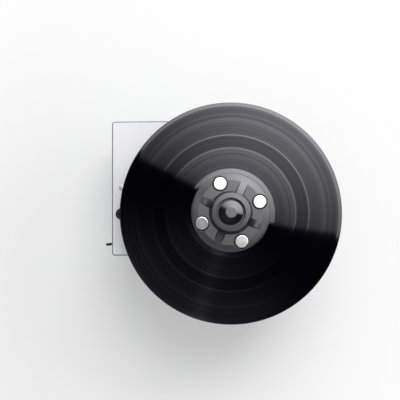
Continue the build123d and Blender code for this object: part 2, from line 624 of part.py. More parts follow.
def spur_gear(centre, module, teeth, tooth_angle, low, face_width):
    """Involute spur gear with a tooth centred on tooth_angle.

    With base radius rb = r cos(pressure), the half tooth angle at radius q is
    pi/2N - backlash/4r + inv(pressure) - inv(acos(rb/q)), where inv(x) = tan(x) - x.
    """
    pitch_r = module * teeth / 2
    base_r = pitch_r * cos(radians(PRESSURE))
    root_r, tip_r = pitch_r - DEDENDUM * module, pitch_r + ADDENDUM * module
    flank_r = max(base_r, root_r)

    def half_angle(radius):
        roll = acos(min(1.0, base_r / radius))
        pressure = radians(PRESSURE)
        at_pitch = pi / (2 * teeth) - BACKLASH / (4 * pitch_r) + tan(pressure) - pressure
        return (at_pitch - tan(roll) + roll) * 180 / pi

    middle_r = (flank_r + tip_r) / 2
    with BuildSketch(Plane.XY.offset(low)) as gear_face:
        with BuildLine():
            roots = []
            for tooth in range(teeth):
                at = tooth_angle + 360 / teeth * tooth
                radii = (flank_r, middle_r, tip_r)
                rise = [polar(centre, r, at - half_angle(r)) for r in radii]
                fall = [polar(centre, r, at + half_angle(r)) for r in radii]
                root = [polar(centre, root_r, at + side * half_angle(flank_r)) for side in (-1, 1)]
                Polyline(*rise)
                Line(rise[2], fall[2])
                Polyline(*reversed(fall))
                if root_r < flank_r:
                    Line(root[0], rise[0])
                    Line(fall[0], root[1])
                roots += root
            for after, before in zip(roots[1::2], roots[2::2] + roots[:1]):
                Line(after, before)
        make_face()
    extrude(gear_face.sketch, amount=face_width)


with BuildPart() as gearbox_case:
    with BuildSketch(GEARBOX_FRAME.offset(Z_GEARBOX)) as case_outline:
        SlotCenterToCenter(GEARBOX_SPAN, 2 * GEARBOX_R)
    extrude(case_outline.sketch, amount=Z_GEARBOX_LID - Z_GEARBOX)
    with BuildSketch(GEARBOX_FRAME.offset(Z_GEARBOX + GEARBOX_FLOOR_T)) as case_inside:
        SlotCenterToCenter(GEARBOX_SPAN, 2 * (GEARBOX_R - GEARBOX_WALL))
    extrude(case_inside.sketch, amount=Z_GEARBOX_LID - Z_GEARBOX, mode=Mode.SUBTRACT)
    tube(AXIS, LOW_BOSS_R, LOW_BUSH_R, Z_GEARBOX, Z_GEARBOX + LOW_BUSH_H)
    tube(IDLER, 4.0, IDLER_PIN_R, Z_GEARBOX, Z_INPUT - 0.1)
    peg(AXIS, LOW_BUSH_R, Z_GEARBOX, Z_GEARBOX + LOW_BUSH_H, mode=Mode.SUBTRACT)
    peg(IDLER, IDLER_PIN_R, Z_GEARBOX, Z_INPUT, mode=Mode.SUBTRACT)
    peg(MOTOR, 6.0, Z_GEARBOX, Z_GEARBOX + GEARBOX_FLOOR_T, mode=Mode.SUBTRACT)
keep(gearbox_case, "gearbox_case")

with BuildPart() as gearbox_lid:  # flanged, screwed up against the top plate
    with BuildSketch(GEARBOX_FRAME.offset(Z_GEARBOX_LID)) as gearbox_lid_outline:
        SlotCenterToCenter(GEARBOX_SPAN, 2 * GEARBOX_FLANGE_R)
    extrude(gearbox_lid_outline.sketch, amount=GEARBOX_LID_T)
    peg(IDLER, 4.0, Z_OUTPUT + OUTPUT_FACE + 0.2, Z_GEARBOX_LID)
    peg(AXIS, BUSH_R, Z_GEARBOX_LID, Z_WRAP, mode=Mode.SUBTRACT)
    peg(IDLER, IDLER_PIN_R, Z_OUTPUT, Z_GEARBOX_LID + 3, mode=Mode.SUBTRACT)
keep(gearbox_lid, "gearbox_lid")

with BuildPart() as output_gear:
    spur_gear(AXIS, OUTPUT_MODULE, OUTPUT_TEETH, IDLER_ANGLE, Z_OUTPUT, OUTPUT_FACE)
    peg(AXIS, SHAFT_R, Z_OUTPUT, Z_OUTPUT + OUTPUT_FACE, mode=Mode.SUBTRACT)
keep(output_gear, "output_gear")

GAP_TO_OUTPUT = IDLER_ANGLE + 180 + 180 / PINION_TEETH
WHEEL_TOP = Z_INPUT + INPUT_FACE
Z_OUTPUT_TOP = Z_OUTPUT + OUTPUT_FACE

with BuildPart() as idler_gear:
    spur_gear(IDLER, INPUT_MODULE, OUTPUT_TEETH, MOTOR_ANGLE, Z_INPUT, INPUT_FACE)
    spur_gear(IDLER, OUTPUT_MODULE, PINION_TEETH, GAP_TO_OUTPUT, WHEEL_TOP, Z_OUTPUT_TOP - WHEEL_TOP)
    peg(IDLER, IDLER_PIN_R + RUNNING, Z_INPUT, Z_OUTPUT_TOP, mode=Mode.SUBTRACT)
keep(idler_gear, "idler_gear")

with BuildPart() as idler_pin:
    peg(IDLER, IDLER_PIN_R, Z_GEARBOX, Z_GEARBOX_LID + 3)
keep(idler_pin, "idler_pin")

GAP_TO_IDLER = MOTOR_ANGLE + 180 + 180 / PINION_TEETH
Z_MOTOR = Z_GEARBOX - MOTOR_H

with BuildPart() as motor_pinion:
    spur_gear(MOTOR, INPUT_MODULE, PINION_TEETH, GAP_TO_IDLER, Z_INPUT, INPUT_FACE)
    peg(MOTOR, MOTOR_SHAFT_R, Z_MOTOR + 6, WHEEL_TOP + 0.8)
keep(motor_pinion, "motor_pinion")

with BuildPart() as drive_motor:
    peg(MOTOR, MOTOR_R, Z_MOTOR, Z_GEARBOX)
    peg(MOTOR, 6.0, Z_GEARBOX, Z_GEARBOX + GEARBOX_FLOOR_T)
    peg(MOTOR, MOTOR_SHAFT_R + RUNNING, Z_MOTOR + 6, Z_GEARBOX + GEARBOX_FLOOR_T, mode=Mode.SUBTRACT)
    chamfer(drive_motor.edges().filter_by(GeomType.CIRCLE).sort_by(Axis.Z)[0], 1.5)
    with BuildSketch(Plane.XY.offset(Z_MOTOR)) as terminals:
        with Locations(MOTOR):
            with Locations((-12, 0), (12, 0)):
                Rectangle(0.8, 5)
    extrude(terminals.sketch, amount=-6)
keep(drive_motor, "drive_motor")

# ---- Platter and record ---------------------------------------------------------------------
PAD_T, PLATTER_T, PLATTER_R = 3.0, 10.0, 48.0
Z_PAD = Z_RECORD - RECORD_T - PAD_T
Z_PLATTER = Z_PAD - PLATTER_T
SPINDLE_R, SPINDLE_TIP = 3.6, Z_RECORD + 12.0
KEEPER_R, KEEPER_BORE_R, KEEPER_T = 47.0, 31.0, 3.5
SKIRT_OUT_R, SKIRT_IN_R, SKIRT_H = 29.0, 26.0, 19.0
HUB_R, HUB_H = 11.0, 13.0

with BuildPart() as shaft_bushes:
    tube(AXIS, LOW_BUSH_R, SHAFT_R + RUNNING, Z_GEARBOX, Z_GEARBOX + LOW_BUSH_H)
    turn(
        AXIS,
        (SHAFT_R + RUNNING, Z_GEARBOX_LID - 2.5),
        (BUSH_R + 1.5, Z_GEARBOX_LID - 2.5),
        (BUSH_R + 1.5, Z_GEARBOX_LID),
        (BUSH_R, Z_GEARBOX_LID),
        (BUSH_R, Z_TOP),
        (SHAFT_R + RUNNING, Z_TOP),
    )
keep(shaft_bushes, "shaft_bushes")

with BuildPart() as platter_shaft:  # drive shaft, thrust collar and record spindle in one
    turn(
        AXIS,
        (0, Z_GEARBOX + 0.4),
        (SHAFT_R, Z_GEARBOX + 0.4),
        (SHAFT_R, Z_TOP + 0.3),
        (SHAFT_R + 3.5, Z_TOP + 0.3),
        (SHAFT_R + 3.5, Z_TOP + 3.5),
        (SHAFT_R, Z_TOP + 3.5),
        (SHAFT_R, Z_PAD),
        (SPINDLE_R, Z_PAD),
        (SPINDLE_R, SPINDLE_TIP - 2.6),
        (SPINDLE_R - 0.9, SPINDLE_TIP - 0.8),
        (SPINDLE_R - 2.2, SPINDLE_TIP),
        (0, SPINDLE_TIP),
    )
keep(platter_shaft, "platter_shaft")

with BuildPart() as splash_collar:
    turn(
        AXIS,
        (17, Z_TOP),
        (24, Z_TOP),
        (24, Z_TOP + 1.5),
        (20, Z_TOP + 2.5),
        (19.5, Z_TOP + 14),
        (17, Z_TOP + 14),
    )
keep(splash_collar, "splash_collar")

with BuildPart() as platter:
    turn(
        AXIS,
        (SHAFT_R, Z_PLATTER - HUB_H),
        (HUB_R, Z_PLATTER - HUB_H),
        (HUB_R, Z_PLATTER),
        (SKIRT_IN_R, Z_PLATTER),
        (SKIRT_IN_R, Z_PLATTER - SKIRT_H),
        (SKIRT_OUT_R, Z_PLATTER - SKIRT_H),
        (SKIRT_OUT_R, Z_PLATTER),
        (PLATTER_R - 1.5, Z_PLATTER),
        (PLATTER_R, Z_PLATTER + 1.5),
        (PLATTER_R, Z_PAD),
        (KEEPER_R, Z_PAD),
        (KEEPER_R, Z_PAD - KEEPER_T),
        (KEEPER_BORE_R, Z_PAD - KEEPER_T),
        (KEEPER_BORE_R, Z_PAD),
        (SHAFT_R, Z_PAD),
    )
keep(platter, "platter")

with BuildPart() as keeper_ring:  # steel, holds the clamp's magnets through the record
    tube(AXIS, KEEPER_R, KEEPER_BORE_R, Z_PAD - KEEPER_T, Z_PAD)
keep(keeper_ring, "keeper_ring")

with BuildPart() as platter_pad:
    tube(AXIS, PLATTER_R, SPINDLE_R + 0.6, Z_PAD, Z_PAD + PAD_T)
keep(platter_pad, "platter_pad")

GROOVE_SUNK, LABEL_T = 0.2, 0.1
Z_RECORD_LOW = Z_RECORD - RECORD_T
HOLE_R = SPINDLE_R + RUNNING

with BuildPart() as record:
    face = [  # radius and depth below the record's highest level
        (HOLE_R, LABEL_T),
        (LABEL_R, LABEL_T),
        (LABEL_R, 0),
        (DEAD_WAX_R - 5, 0),
        (DEAD_WAX_R - 2, GROOVE_SUNK),
        (LEAD_IN_R, GROOVE_SUNK),
        (LEAD_IN_R + 1.2, 0),
        (RECORD_R - 0.9, 0),
        (RECORD_R, 0.5),
    ]
    upper = [(r, Z_RECORD - depth) for r, depth in face]
    lower = [(r, Z_RECORD_LOW + depth) for r, depth in reversed(face)]
    turn(AXIS, *upper, *lower)
keep(record, "record")

with BuildPart() as record_labels:
    tube(AXIS, LABEL_R, HOLE_R, Z_RECORD_LOW, Z_RECORD_LOW + LABEL_T)
    tube(AXIS, LABEL_R, HOLE_R, Z_RECORD - LABEL_T, Z_RECORD)
keep(record_labels, "record_labels")

# ---- Label clamp ----------------------------------------------------------------------------
CLAMP_R, BAND_R, BEVEL_R, HUB_FOOT_R, HUB_RIM_R, WELL_R = 54.0, 50.2, 44.0, 29.6, 26.0, 18.7
Z_CLAMP_DECK = Z_RECORD + 6.8
Z_HUB_RIM = Z_RECORD + 18.4
RIB_TOP = Z_RECORD + 15.9
RIB_ANGLES = (65.0, 155.0)
RIB_W, RIB_CHAMFER = 11.4, 1.1
MAGNET_R, POCKET_R, MAGNET_PITCH_R, MAGNET_ANGLE = 8.8, 10.3, 41.5, 20.0
POCKET_FLOOR = Z_RECORD + 3.0
KNOB_R, KNOB_TOP_R, STEM_R = 16.6, 7.3, 8.0
Z_KNOB = Z_RECORD + 24.2
SEAL_IN_R, SEAL_OUT_R, SEAL_T = 49.6, 53.0, 2.0
magnet_places = [polar(AXIS, MAGNET_PITCH_R, MAGNET_ANGLE + 90 * quarter) for quarter in range(4)]

RIB_BACK = (35.0, Z_CLAMP_DECK + 2.9)  # radius and height of a point half-way down a rib


def on_back(edge):
    """True for the long upper edges of a rib, which run from its root to its tip."""
    ends = edge.vertices()
    return abs(ends[0].Z - ends[1].Z) > 2 * RIB_CHAMFER and edge.center().Z > Z_CLAMP_DECK + 1


with BuildPart() as clamp_ribs:
    # Each rib's back falls in a hollow curve from the hub to the edge of the deck.
    with BuildSketch(Plane((*AXIS, 0), x_dir=(0, 1, 0), z_dir=(1, 0, 0))) as rib_section:
        with BuildLine():
            Polyline(
                (BEVEL_R, Z_CLAMP_DECK),
                (BEVEL_R, Z_CLAMP_DECK - 1),
                (HUB_RIM_R, Z_CLAMP_DECK - 1),
                (HUB_RIM_R, RIB_TOP),
            )
            ThreePointArc((HUB_RIM_R, RIB_TOP), RIB_BACK, (BEVEL_R, Z_CLAMP_DECK))
        make_face()
    revolve(rib_section.sketch, axis=Axis((*AXIS, 0), (0, 0, 1)))
    with BuildSketch(Plane.XY.offset(Z_CLAMP_DECK - 1)) as cross:
        with Locations(AXIS):
            for rib_angle in RIB_ANGLES:
                Rectangle(2 * CLAMP_R, RIB_W, rotation=rib_angle)
    extrude(cross.sketch, amount=RIB_TOP - Z_CLAMP_DECK + 2, mode=Mode.INTERSECT)
    chamfer(clamp_ribs.edges().filter_by(on_back), RIB_CHAMFER)

with BuildPart() as clamp_body:
    turn(
        AXIS,
        (CLAMP_R, Z_RECORD + 0.8),
        (CLAMP_R, Z_RECORD + 3.0),
        (CLAMP_R - 0.9, Z_RECORD + 4.0),
        (BAND_R, Z_RECORD + 4.3),
        (BEVEL_R, Z_CLAMP_DECK),
        (HUB_FOOT_R, Z_CLAMP_DECK),
        (HUB_RIM_R, Z_HUB_RIM - 0.8),
        (HUB_RIM_R - 1, Z_HUB_RIM),
        (WELL_R + 0.9, Z_HUB_RIM),
        (WELL_R, Z_HUB_RIM - 0.8),
        (WELL_R, Z_RECORD + 8),
        (STEM_R, Z_RECORD + 8),
        (STEM_R, Z_RECORD + 5.5),
        (20.5, Z_RECORD + 5.5),
        (20.5, Z_RECORD + 15.4),
        (24.0, Z_RECORD + 15.4),
        (26.0, Z_RECORD + 4.4),
        (43.0, Z_RECORD + 4.4),
        (48.0, Z_RECORD + 3.0),
        (48.0, Z_RECORD + 1.2),
        (SEAL_IN_R, Z_RECORD + 1.2),
        (SEAL_IN_R, Z_RECORD + SEAL_T),
        (SEAL_OUT_R, Z_RECORD + SEAL_T),
        (SEAL_OUT_R, Z_RECORD + 0.8),
    )
    add(clamp_ribs.part)
    for magnet_place in magnet_places:
        peg(magnet_place, POCKET_R + 1, Z_RECORD + SEAL_T, Z_CLAMP_DECK)
        peg(magnet_place, POCKET_R, POCKET_FLOOR, Z_HUB_RIM, mode=Mode.SUBTRACT)
keep(clamp_body, "clamp_body")

with BuildPart() as clamp_seal:
    tube(AXIS, SEAL_OUT_R, SEAL_IN_R, Z_RECORD, Z_RECORD + SEAL_T)
keep(clamp_seal, "clamp_seal")

with BuildPart() as clamp_magnets:
    for magnet_place in magnet_places:
        peg(magnet_place, MAGNET_R, POCKET_FLOOR, Z_CLAMP_DECK + 1.8)
keep(clamp_magnets, "clamp_magnets")

with BuildPart() as clamp_knob:
    turn(
        AXIS,
        (SPINDLE_R + 2 * RUNNING, Z_RECORD + 5.5),
        (STEM_R, Z_RECORD + 5.5),
        (STEM_R, Z_RECORD + 8),
        (KNOB_R, Z_RECORD + 8),
        (KNOB_R, Z_HUB_RIM - 1.2),
        (KNOB_TOP_R + 0.6, Z_KNOB - 0.4),
        (KNOB_TOP_R, Z_KNOB),
        (0, Z_KNOB),
        (0, Z_RECORD + 15),
        (SPINDLE_R + 2 * RUNNING, Z_RECORD + 15),
    )
keep(clamp_knob, "clamp_knob")

# ---- Switches on the left wall --------------------------------------------------------------
SWITCH_BORE_R, BUSH_OUT = 2.2, 6.5
PIVOT_OUT, PIVOT_R, PIVOT_L, NECK_R, SLEEVE_R = 3.5, 0.8, 4.2, 1.0, 2.0
SLEEVE_START = 4.0  # from the pivot
THROW = 14.0  # degrees either way

with BuildPart() as switch_bodies:
    for z in SWITCH_Z:
        wall = CASE_LEFT + WRAP_T
        block((wall + 5.5, SWITCH_Y), 11, 7, z - 6.5, z + 6.5)
        for lug_z in (z - 4.5, z, z + 4.5):
            block((wall + 13, SWITCH_Y), 5, 2, lug_z - 0.4, lug_z + 0.4)
        lathe(
            (CASE_LEFT, SWITCH_Y, z),
            (-1, 0, 0),
            (0, -WRAP_T),
            (SWITCH_BUSH_R, -WRAP_T),
            (SWITCH_BUSH_R, BUSH_OUT),
            (SWITCH_BORE_R, BUSH_OUT),
            (SWITCH_BORE_R, 0),
            (0, 0),
        )
keep(switch_bodies, "switch_bodies")

with BuildPart() as switch_nuts:
    for z in SWITCH_Z:
        with BuildSketch(Plane((CASE_LEFT, SWITCH_Y, z), x_dir=(0, 1, 0), z_dir=(-1, 0, 0))) as nut:
            RegularPolygon(4.0, 6, major_radius=False)
            Circle(SWITCH_BUSH_R, mode=Mode.SUBTRACT)
        extrude(nut.sketch, amount=2)
keep(switch_nuts, "switch_nuts")


def lever(z, tilt):
    """Toggle lever on its cross pin, with a moulded sleeve, tilt degrees above level."""
    pivot = (CASE_LEFT - PIVOT_OUT, SWITCH_Y, z)
    out = (-cos(radians(tilt)), 0, sin(radians(tilt)))
    reach = LEVER_REACH - PIVOT_OUT
    lathe(
        pivot,
        out,
        (0, -NECK_R),
        (NECK_R, -NECK_R),
        (NECK_R, SLEEVE_START),
        (SLEEVE_R - 0.5, SLEEVE_START),
        (SLEEVE_R, reach - 1.6),
        (SLEEVE_R - 1.1, reach),
        (0, reach),
    )
    lathe(
        pivot,
        (0, 1, 0),
        (0, -PIVOT_L / 2),
        (PIVOT_R, -PIVOT_L / 2),
        (PIVOT_R, PIVOT_L / 2),
        (0, PIVOT_L / 2),
    )


with BuildPart() as motor_lever:  # level: off, between its two directions
    lever(SWITCH_Z[0], 0)
keep(motor_lever, "motor_lever")

with BuildPart() as vacuum_lever:  # down: off
    lever(SWITCH_Z[1], -THROW)
keep(vacuum_lever, "vacuum_lever")

# ---- Control board --------------------------------------------------------------------------
BOARD = (CASE_LEFT + 205.0, CASE_FRONT + 42.0)
BOARD_SIZE = (60.0, 66.0)
Z_BOARD, BOARD_T = Z_FLOOR + 6.0, 1.6

with BuildPart() as control_board:
    block(BOARD, *BOARD_SIZE, Z_BOARD, Z_BOARD + BOARD_T)
    with BuildSketch(Plane.XY.offset(Z_FLOOR)) as standoffs:
        with Locations(BOARD):
            with GridLocations(BOARD_SIZE[0] - 8, BOARD_SIZE[1] - 8, 2, 2):
                RegularPolygon(2.75, 6, major_radius=False)
    extrude(standoffs.sketch, amount=Z_BOARD - Z_FLOOR)
    board_top = Z_BOARD + BOARD_T
    block((BOARD[0] - 14, BOARD[1] + 18), 19, 15.5, board_top, board_top + 15.5)  # relay
    block((BOARD[0] + 4, BOARD[1] - 25), 40, 9, board_top, board_top + 12)  # terminals
    block((BOARD[0] + 14, BOARD[1] - 2), 24, 22, board_top, board_top + 26)  # transformer
    peg((BOARD[0] - 14, BOARD[1] - 6), 6.3, board_top, board_top + 22)  # smoothing capacitor
    peg((BOARD[0] + 16, BOARD[1] + 20), 9.0, board_top, board_top + 30)  # motor run capacitor
keep(control_board, "control_board")
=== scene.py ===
# %% [markdown]
# # A record cleaning machine
#
# A square silver case carries a motor-driven platter. A twelve-inch record lies on it, pressed
# down by a grey clamp with four magnets and a black knob. Switch levers stand out on the left,
# beside the socket of the suction arm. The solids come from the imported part; this script gives
# them their finishes, and makes again in finer meshes the pieces that are seen most.

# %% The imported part
import json
from math import cos, pi, radians, sin

import bmesh
import bpy
import numpy as np
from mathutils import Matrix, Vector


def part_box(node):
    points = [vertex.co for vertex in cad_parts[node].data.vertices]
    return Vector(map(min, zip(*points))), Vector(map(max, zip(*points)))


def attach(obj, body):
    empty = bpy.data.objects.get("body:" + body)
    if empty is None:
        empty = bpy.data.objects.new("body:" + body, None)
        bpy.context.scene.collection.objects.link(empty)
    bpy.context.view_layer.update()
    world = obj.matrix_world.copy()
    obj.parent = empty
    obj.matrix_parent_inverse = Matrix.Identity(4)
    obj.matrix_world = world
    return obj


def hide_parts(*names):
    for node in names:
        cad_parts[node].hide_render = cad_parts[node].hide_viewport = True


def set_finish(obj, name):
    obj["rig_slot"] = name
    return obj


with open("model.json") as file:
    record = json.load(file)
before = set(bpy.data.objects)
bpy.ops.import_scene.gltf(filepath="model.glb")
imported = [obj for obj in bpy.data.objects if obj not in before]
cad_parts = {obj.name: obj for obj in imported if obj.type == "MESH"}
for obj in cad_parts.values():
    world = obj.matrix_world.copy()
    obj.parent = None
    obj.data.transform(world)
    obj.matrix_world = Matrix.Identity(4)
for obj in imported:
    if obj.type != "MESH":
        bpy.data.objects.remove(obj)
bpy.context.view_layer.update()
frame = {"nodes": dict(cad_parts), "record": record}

# %% [markdown]
# ## Measures
#
# The part is in metres and its drawing in millimetres, so shapes are worked out in millimetres
# and scaled once, when a mesh is made. The platter axis is the middle of everything round.

# %% Measures
MM = 0.001
AXIS = (16.35, 0.0)
RECORD_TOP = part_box("record")[1].z / MM
RECORD_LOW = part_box("record")[0].z / MM
RECORD_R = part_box("record")[1].x / MM - AXIS[0]
CASE_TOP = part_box("top_plate")[1].z / MM
CASE_LEFT, CASE_FRONT = (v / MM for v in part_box("top_plate")[0][:2])
CASE_RIGHT, CASE_BACK = (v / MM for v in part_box("top_plate")[1][:2])
print("record radius", round(RECORD_R, 2), "mm, case", round(CASE_RIGHT - CASE_LEFT), "mm wide")

# %% [markdown]
# ## Turned shapes
#
# Most of the machine is turned: knob, platter, feet, screws. A turned piece is one outline
# carried round an axis, so its points are the product of two short lists, radius and angle.
# Blender's Spin and Screw tools do the same by hand; two numpy arrays do it in one line each
# and keep every radius readable. Corners are cut by a small parabola, as a tool nose leaves
# them. Each row of an outline below is a corner: its radius, its height and how far back the
# cut begins, all in millimetres.


# %% Outline with rounded corners
def rounded(*corners, samples=5):
    """Closed outline from rows of (radius, height, cut). Each corner C becomes the parabola
    (1-t)^2 A + 2t(1-t) C + t^2 B, with A and B one cut before and after it. One more point
    stands a little outside A and B, which keeps the shading of the flats beside them flat."""
    rows = np.array(corners, float)
    place, cut = rows[:, :2], rows[:, 2:]

    def step(towards, much, most):
        edge = towards - place
        length = np.linalg.norm(edge, axis=1, keepdims=True)
        return (place + edge / length * np.minimum(much * cut, most * length))[:, None]

    before, after = np.roll(place, 1, 0), np.roll(place, -1, 0)
    t = np.linspace(0, 1, samples)[None, :, None]
    start, end = step(before, 1, 0.45), step(after, 1, 0.45)
    curve = (1 - t) ** 2 * start + 2 * t * (1 - t) * place[:, None] + t**2 * end
    line = np.concatenate([step(before, 1.25, 0.49), curve, step(after, 1.25, 0.49)], 1).reshape(-1, 2)
    apart = np.linalg.norm(line - np.roll(line, 1, 0), axis=1) > 1e-6
    return line[apart]


square = rounded((5, 0, 1), (15, 0, 1), (15, 10, 1), (5, 10, 1))
print("a square with cut corners has", len(square), "points")


# %% Points and faces of a grid
def turned(outline, centre=AXIS, steps=96):
    """Point (i, j) is centre + r_i (cos a_j, sin a_j) at height z_i. The outline is made to
    run counter-clockwise, so that the faces look outwards, and an outline that touches the
    axis is opened there."""
    r, z = outline.T
    if np.sum(r * np.roll(z, -1) - np.roll(r, -1) * z) < 0:
        outline = outline[::-1]
    on_axis = outline[:, 0] < 1e-6
    both = on_axis & np.roll(on_axis, 1)
    if both.any():
        outline = np.roll(outline, -int(np.argmax(both)), axis=0)
    r, z = outline.T
    angle = 2 * pi * np.arange(steps) / steps
    x, y = centre[0] + r[:, None] * np.cos(angle), centre[1] + r[:, None] * np.sin(angle)
    points = np.stack([x, y, np.broadcast_to(z[:, None], x.shape)], axis=-1).reshape(-1, 3)
    return points, grid_faces(len(outline), steps, closed=not both.any())


def grid_faces(rows, steps, closed):
    """Quads between neighbouring rows of a grid whose columns run round and close."""
    index = np.arange(rows * steps).reshape(rows, steps)
    upper = np.roll(index, -1, axis=0)
    quads = np.stack([index, np.roll(index, -1, 1), np.roll(upper, -1, 1), upper], axis=-1)
    return (quads if closed else quads[:-1]).reshape(-1, 4)


ring_points, ring_faces = turned(square, steps=24)
print("turned in 24 steps it is a ring of", len(ring_faces), "faces")


# %% Shapes joined, and shapes that point another way
def together(*shapes):
    """Several point and face lists as one: each list of faces counts on from the last."""
    starts = np.cumsum([0] + [len(points) for points, _ in shapes[:-1]])
    points = np.concatenate([points for points, _ in shapes])
    return points, np.concatenate([faces + s for (_, faces), s in zip(shapes, starts)])


def pointed(shape, origin, out):
    """Turns a shape made along +Z so that +Z looks along out, and carries it to origin."""
    points, faces = shape
    out = np.array(out, float) / np.linalg.norm(out)
    side = np.cross((0, 1, 0) if abs(out[1]) < 0.9 else (1, 0, 0), out)
    side /= np.linalg.norm(side)
    return points @ np.array([side, np.cross(out, side), out]) + origin, faces


ring_pair = together((ring_points, ring_faces), pointed((ring_points, ring_faces), (0, 0, 50), (1, 0, 0)))
print("two such rings, one of them on its side, have", len(ring_pair[1]), "faces")


# %% From points to a piece of the machine
def make_piece(name, shape, body, slot, stands_for=(), sharp=32):
    """One mesh object at the origin that rides on a body. Doubles are merged, which closes
    the poles, and edges sharper than the angle stay sharp in the shading."""
    points, faces = shape
    mesh = bpy.data.meshes.new(name)
    mesh.from_pydata((points * MM).tolist(), [], faces.tolist())
    build = bmesh.new()
    build.from_mesh(mesh)
    bmesh.ops.remove_doubles(build, verts=build.verts, dist=1e-7)
    build.to_mesh(mesh)
    build.free()
    mesh.shade_smooth()
    mesh.set_sharp_from_angle(angle=radians(sharp))
    piece = bpy.data.objects.new(name, mesh)
    bpy.context.scene.collection.objects.link(piece)
    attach(piece, body)
    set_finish(piece, slot)
    if stands_for:
        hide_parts(*stands_for)
    print(name, len(mesh.polygons), "faces on", body)
    return piece


pieces = {}

# %% [markdown]
# ## The record
#
# A pressed vinyl disc: a smooth rim bead, the grooved band with smooth gaps between the tracks,
# a smooth run-out and a sunk seat for the label. A single groove is far too fine to model, so
# the mesh carries the forms that the eye sees as rings, and the groove itself stays with the
# finish. Height is a function of radius alone, turned on many rings.

# %% Record
GAPS = (76.2, 88.3, 106.3, 126.8)  # radii of the smooth gaps between the tracks
HOLE_R, SEAT_R, RUN_OUT_R, BEAD_FOOT_R = 3.64, 49.9, 50.2, 149.9
UPPER_RINGS, LOWER_RINGS = 180, 48
BEAD_REACH = 0.8


def pressed_depth(r):
    """Depth below the rim: 0.1 under the label, 0.05 on the run-out and 0.11 in the band, which
    has two sine ripples on it and a gaussian rise of 0.02 at each gap between tracks. From the
    band the run-in climbs at 2 degrees to the bead on the rim."""
    band = np.interp(r, [50, 50.2, 56, 60, 145.8, 149.9], [0.1, 0.05, 0.05, 0.11, 0.135, 0.0])
    grooved = np.interp(r, [58, 61, 144, 146], [0, 1, 1, 0])
    ripple = 0.0015 * np.sin(2 * pi * r / 1.7) + 0.002 * np.sin(2 * pi * r / 5.3)
    gap = sum(0.02 * np.exp(-(((r - g) / 0.6) ** 2)) for g in GAPS)
    return band + grooved * (ripple - gap)


label_r = [HOLE_R, 20, SEAT_R]
upper_r = np.concatenate([label_r, np.linspace(RUN_OUT_R, BEAD_FOOT_R, UPPER_RINGS)])
lower_r = np.concatenate([label_r, np.linspace(RUN_OUT_R, BEAD_FOOT_R, LOWER_RINGS)])
rim = np.linspace(-pi / 2, pi / 2, 11)[1:-1]
middle = (RECORD_TOP + RECORD_LOW) / 2
bead = np.stack([RECORD_R - BEAD_REACH + BEAD_REACH * np.cos(rim), middle + np.sin(rim)], axis=1)
outline = np.concatenate([
    np.stack([lower_r, RECORD_LOW + pressed_depth(lower_r)], axis=1),
    bead,
    np.stack([upper_r, RECORD_TOP - pressed_depth(upper_r)], axis=1)[::-1],
])
pieces["record_disc"] = make_piece(
    "record_disc", turned(outline, steps=360), "record", "vinyl", ["record"], sharp=60
)

# %% [markdown]
# ## The clamp
#
# The clamp is a moulding: a flat deck with four round pockets, sloping ribs up to a raised hub,
# and a bevelled skirt. The solid has all of these, and what it lacks is the small radius that a
# mould leaves on each edge. A merged copy of its mesh with a Bevel modifier adds that.


# %% A softened copy of a solid
def softened(node, width, body, slot, segments=2, slope=2.0):
    """Copy of a solid's mesh with a live Bevel on its real edges. Two faces make a real edge
    if they meet at more than 30 degrees, or if their upward normals differ by the slope: on
    a shape turned about an upright axis, that tells one cone from the next. It stands for
    the node."""
    mesh = frame["nodes"][node].data.copy()
    build = bmesh.new()
    build.from_mesh(mesh)
    bmesh.ops.remove_doubles(build, verts=build.verts, dist=2e-6)
    build.normal_update()
    weight = build.edges.layers.float.new("bevel_weight_edge")
    for rib in build.edges:
        faces = rib.link_faces
        real = len(faces) == 2 and (
            rib.calc_face_angle(0) > radians(30) or abs(faces[0].normal.z - faces[1].normal.z) > slope
        )
        rib.smooth, rib[weight] = not real, float(real)
    build.to_mesh(mesh)
    build.free()
    mesh.name = node + "_soft"
    if "sharp_face" in mesh.attributes:
        mesh.attributes.remove(mesh.attributes["sharp_face"])
    piece = bpy.data.objects.new(node + "_soft", mesh)
    bpy.context.scene.collection.objects.link(piece)
    edge = piece.modifiers.new("edge", "BEVEL")
    edge.width, edge.segments = width * MM, segments
    edge.limit_method = "WEIGHT"
    edge.harden_normals = True
    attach(piece, body)
    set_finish(piece, slot)
    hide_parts(node)
    print(piece.name, len(mesh.polygons), "faces before its bevel of", width, "mm")
    return piece


pieces["clamp_body_soft"] = softened("clamp_body", 0.2, "clamp", "clamp_grey", slope=0.045)

# %% [markdown]
# The rim of the hub falls a little towards its outer edge, so that fluid runs off it. A fifth
# of a millimetre is enough to turn what it mirrors, and the rim goes from pale on one side to
# dark on the other. The merged copy has few points, so those of the outer edge are found by
# their height and radius and lowered in one step, before the Bevel rounds the edge.

# %% The fall of the hub's rim
HUB_EDGE_R, HUB_FALL, LEVEL_WITHIN = 24.5, 0.2, 0.01
hub_mesh = pieces["clamp_body_soft"].data
spots = np.empty(len(hub_mesh.vertices) * 3)
hub_mesh.vertices.foreach_get("co", spots)
spots = spots.reshape(-1, 3)
off_axis = np.hypot(*(spots[:, :2] / MM - AXIS).T)
on_edge = (off_axis > HUB_EDGE_R) & (spots[:, 2] > spots[:, 2].max() - LEVEL_WITHIN * MM)
spots[on_edge, 2] -= HUB_FALL * MM
hub_mesh.vertices.foreach_set("co", spots.ravel())
hub_mesh.update()
print(on_edge.sum(), "points of the hub's edge lowered by", HUB_FALL, "mm")

# %% [markdown]
# ## Knob and magnets
#
# The knob is turned with a domed shoulder and a small flat top, and screws down on the
# spindle. The magnets are plain discs, each glued into its pocket by hand, so two of them lean
# by half a degree. Both are outlines carried round an axis. A lean is a change of the
# direction that the finished disc points in.

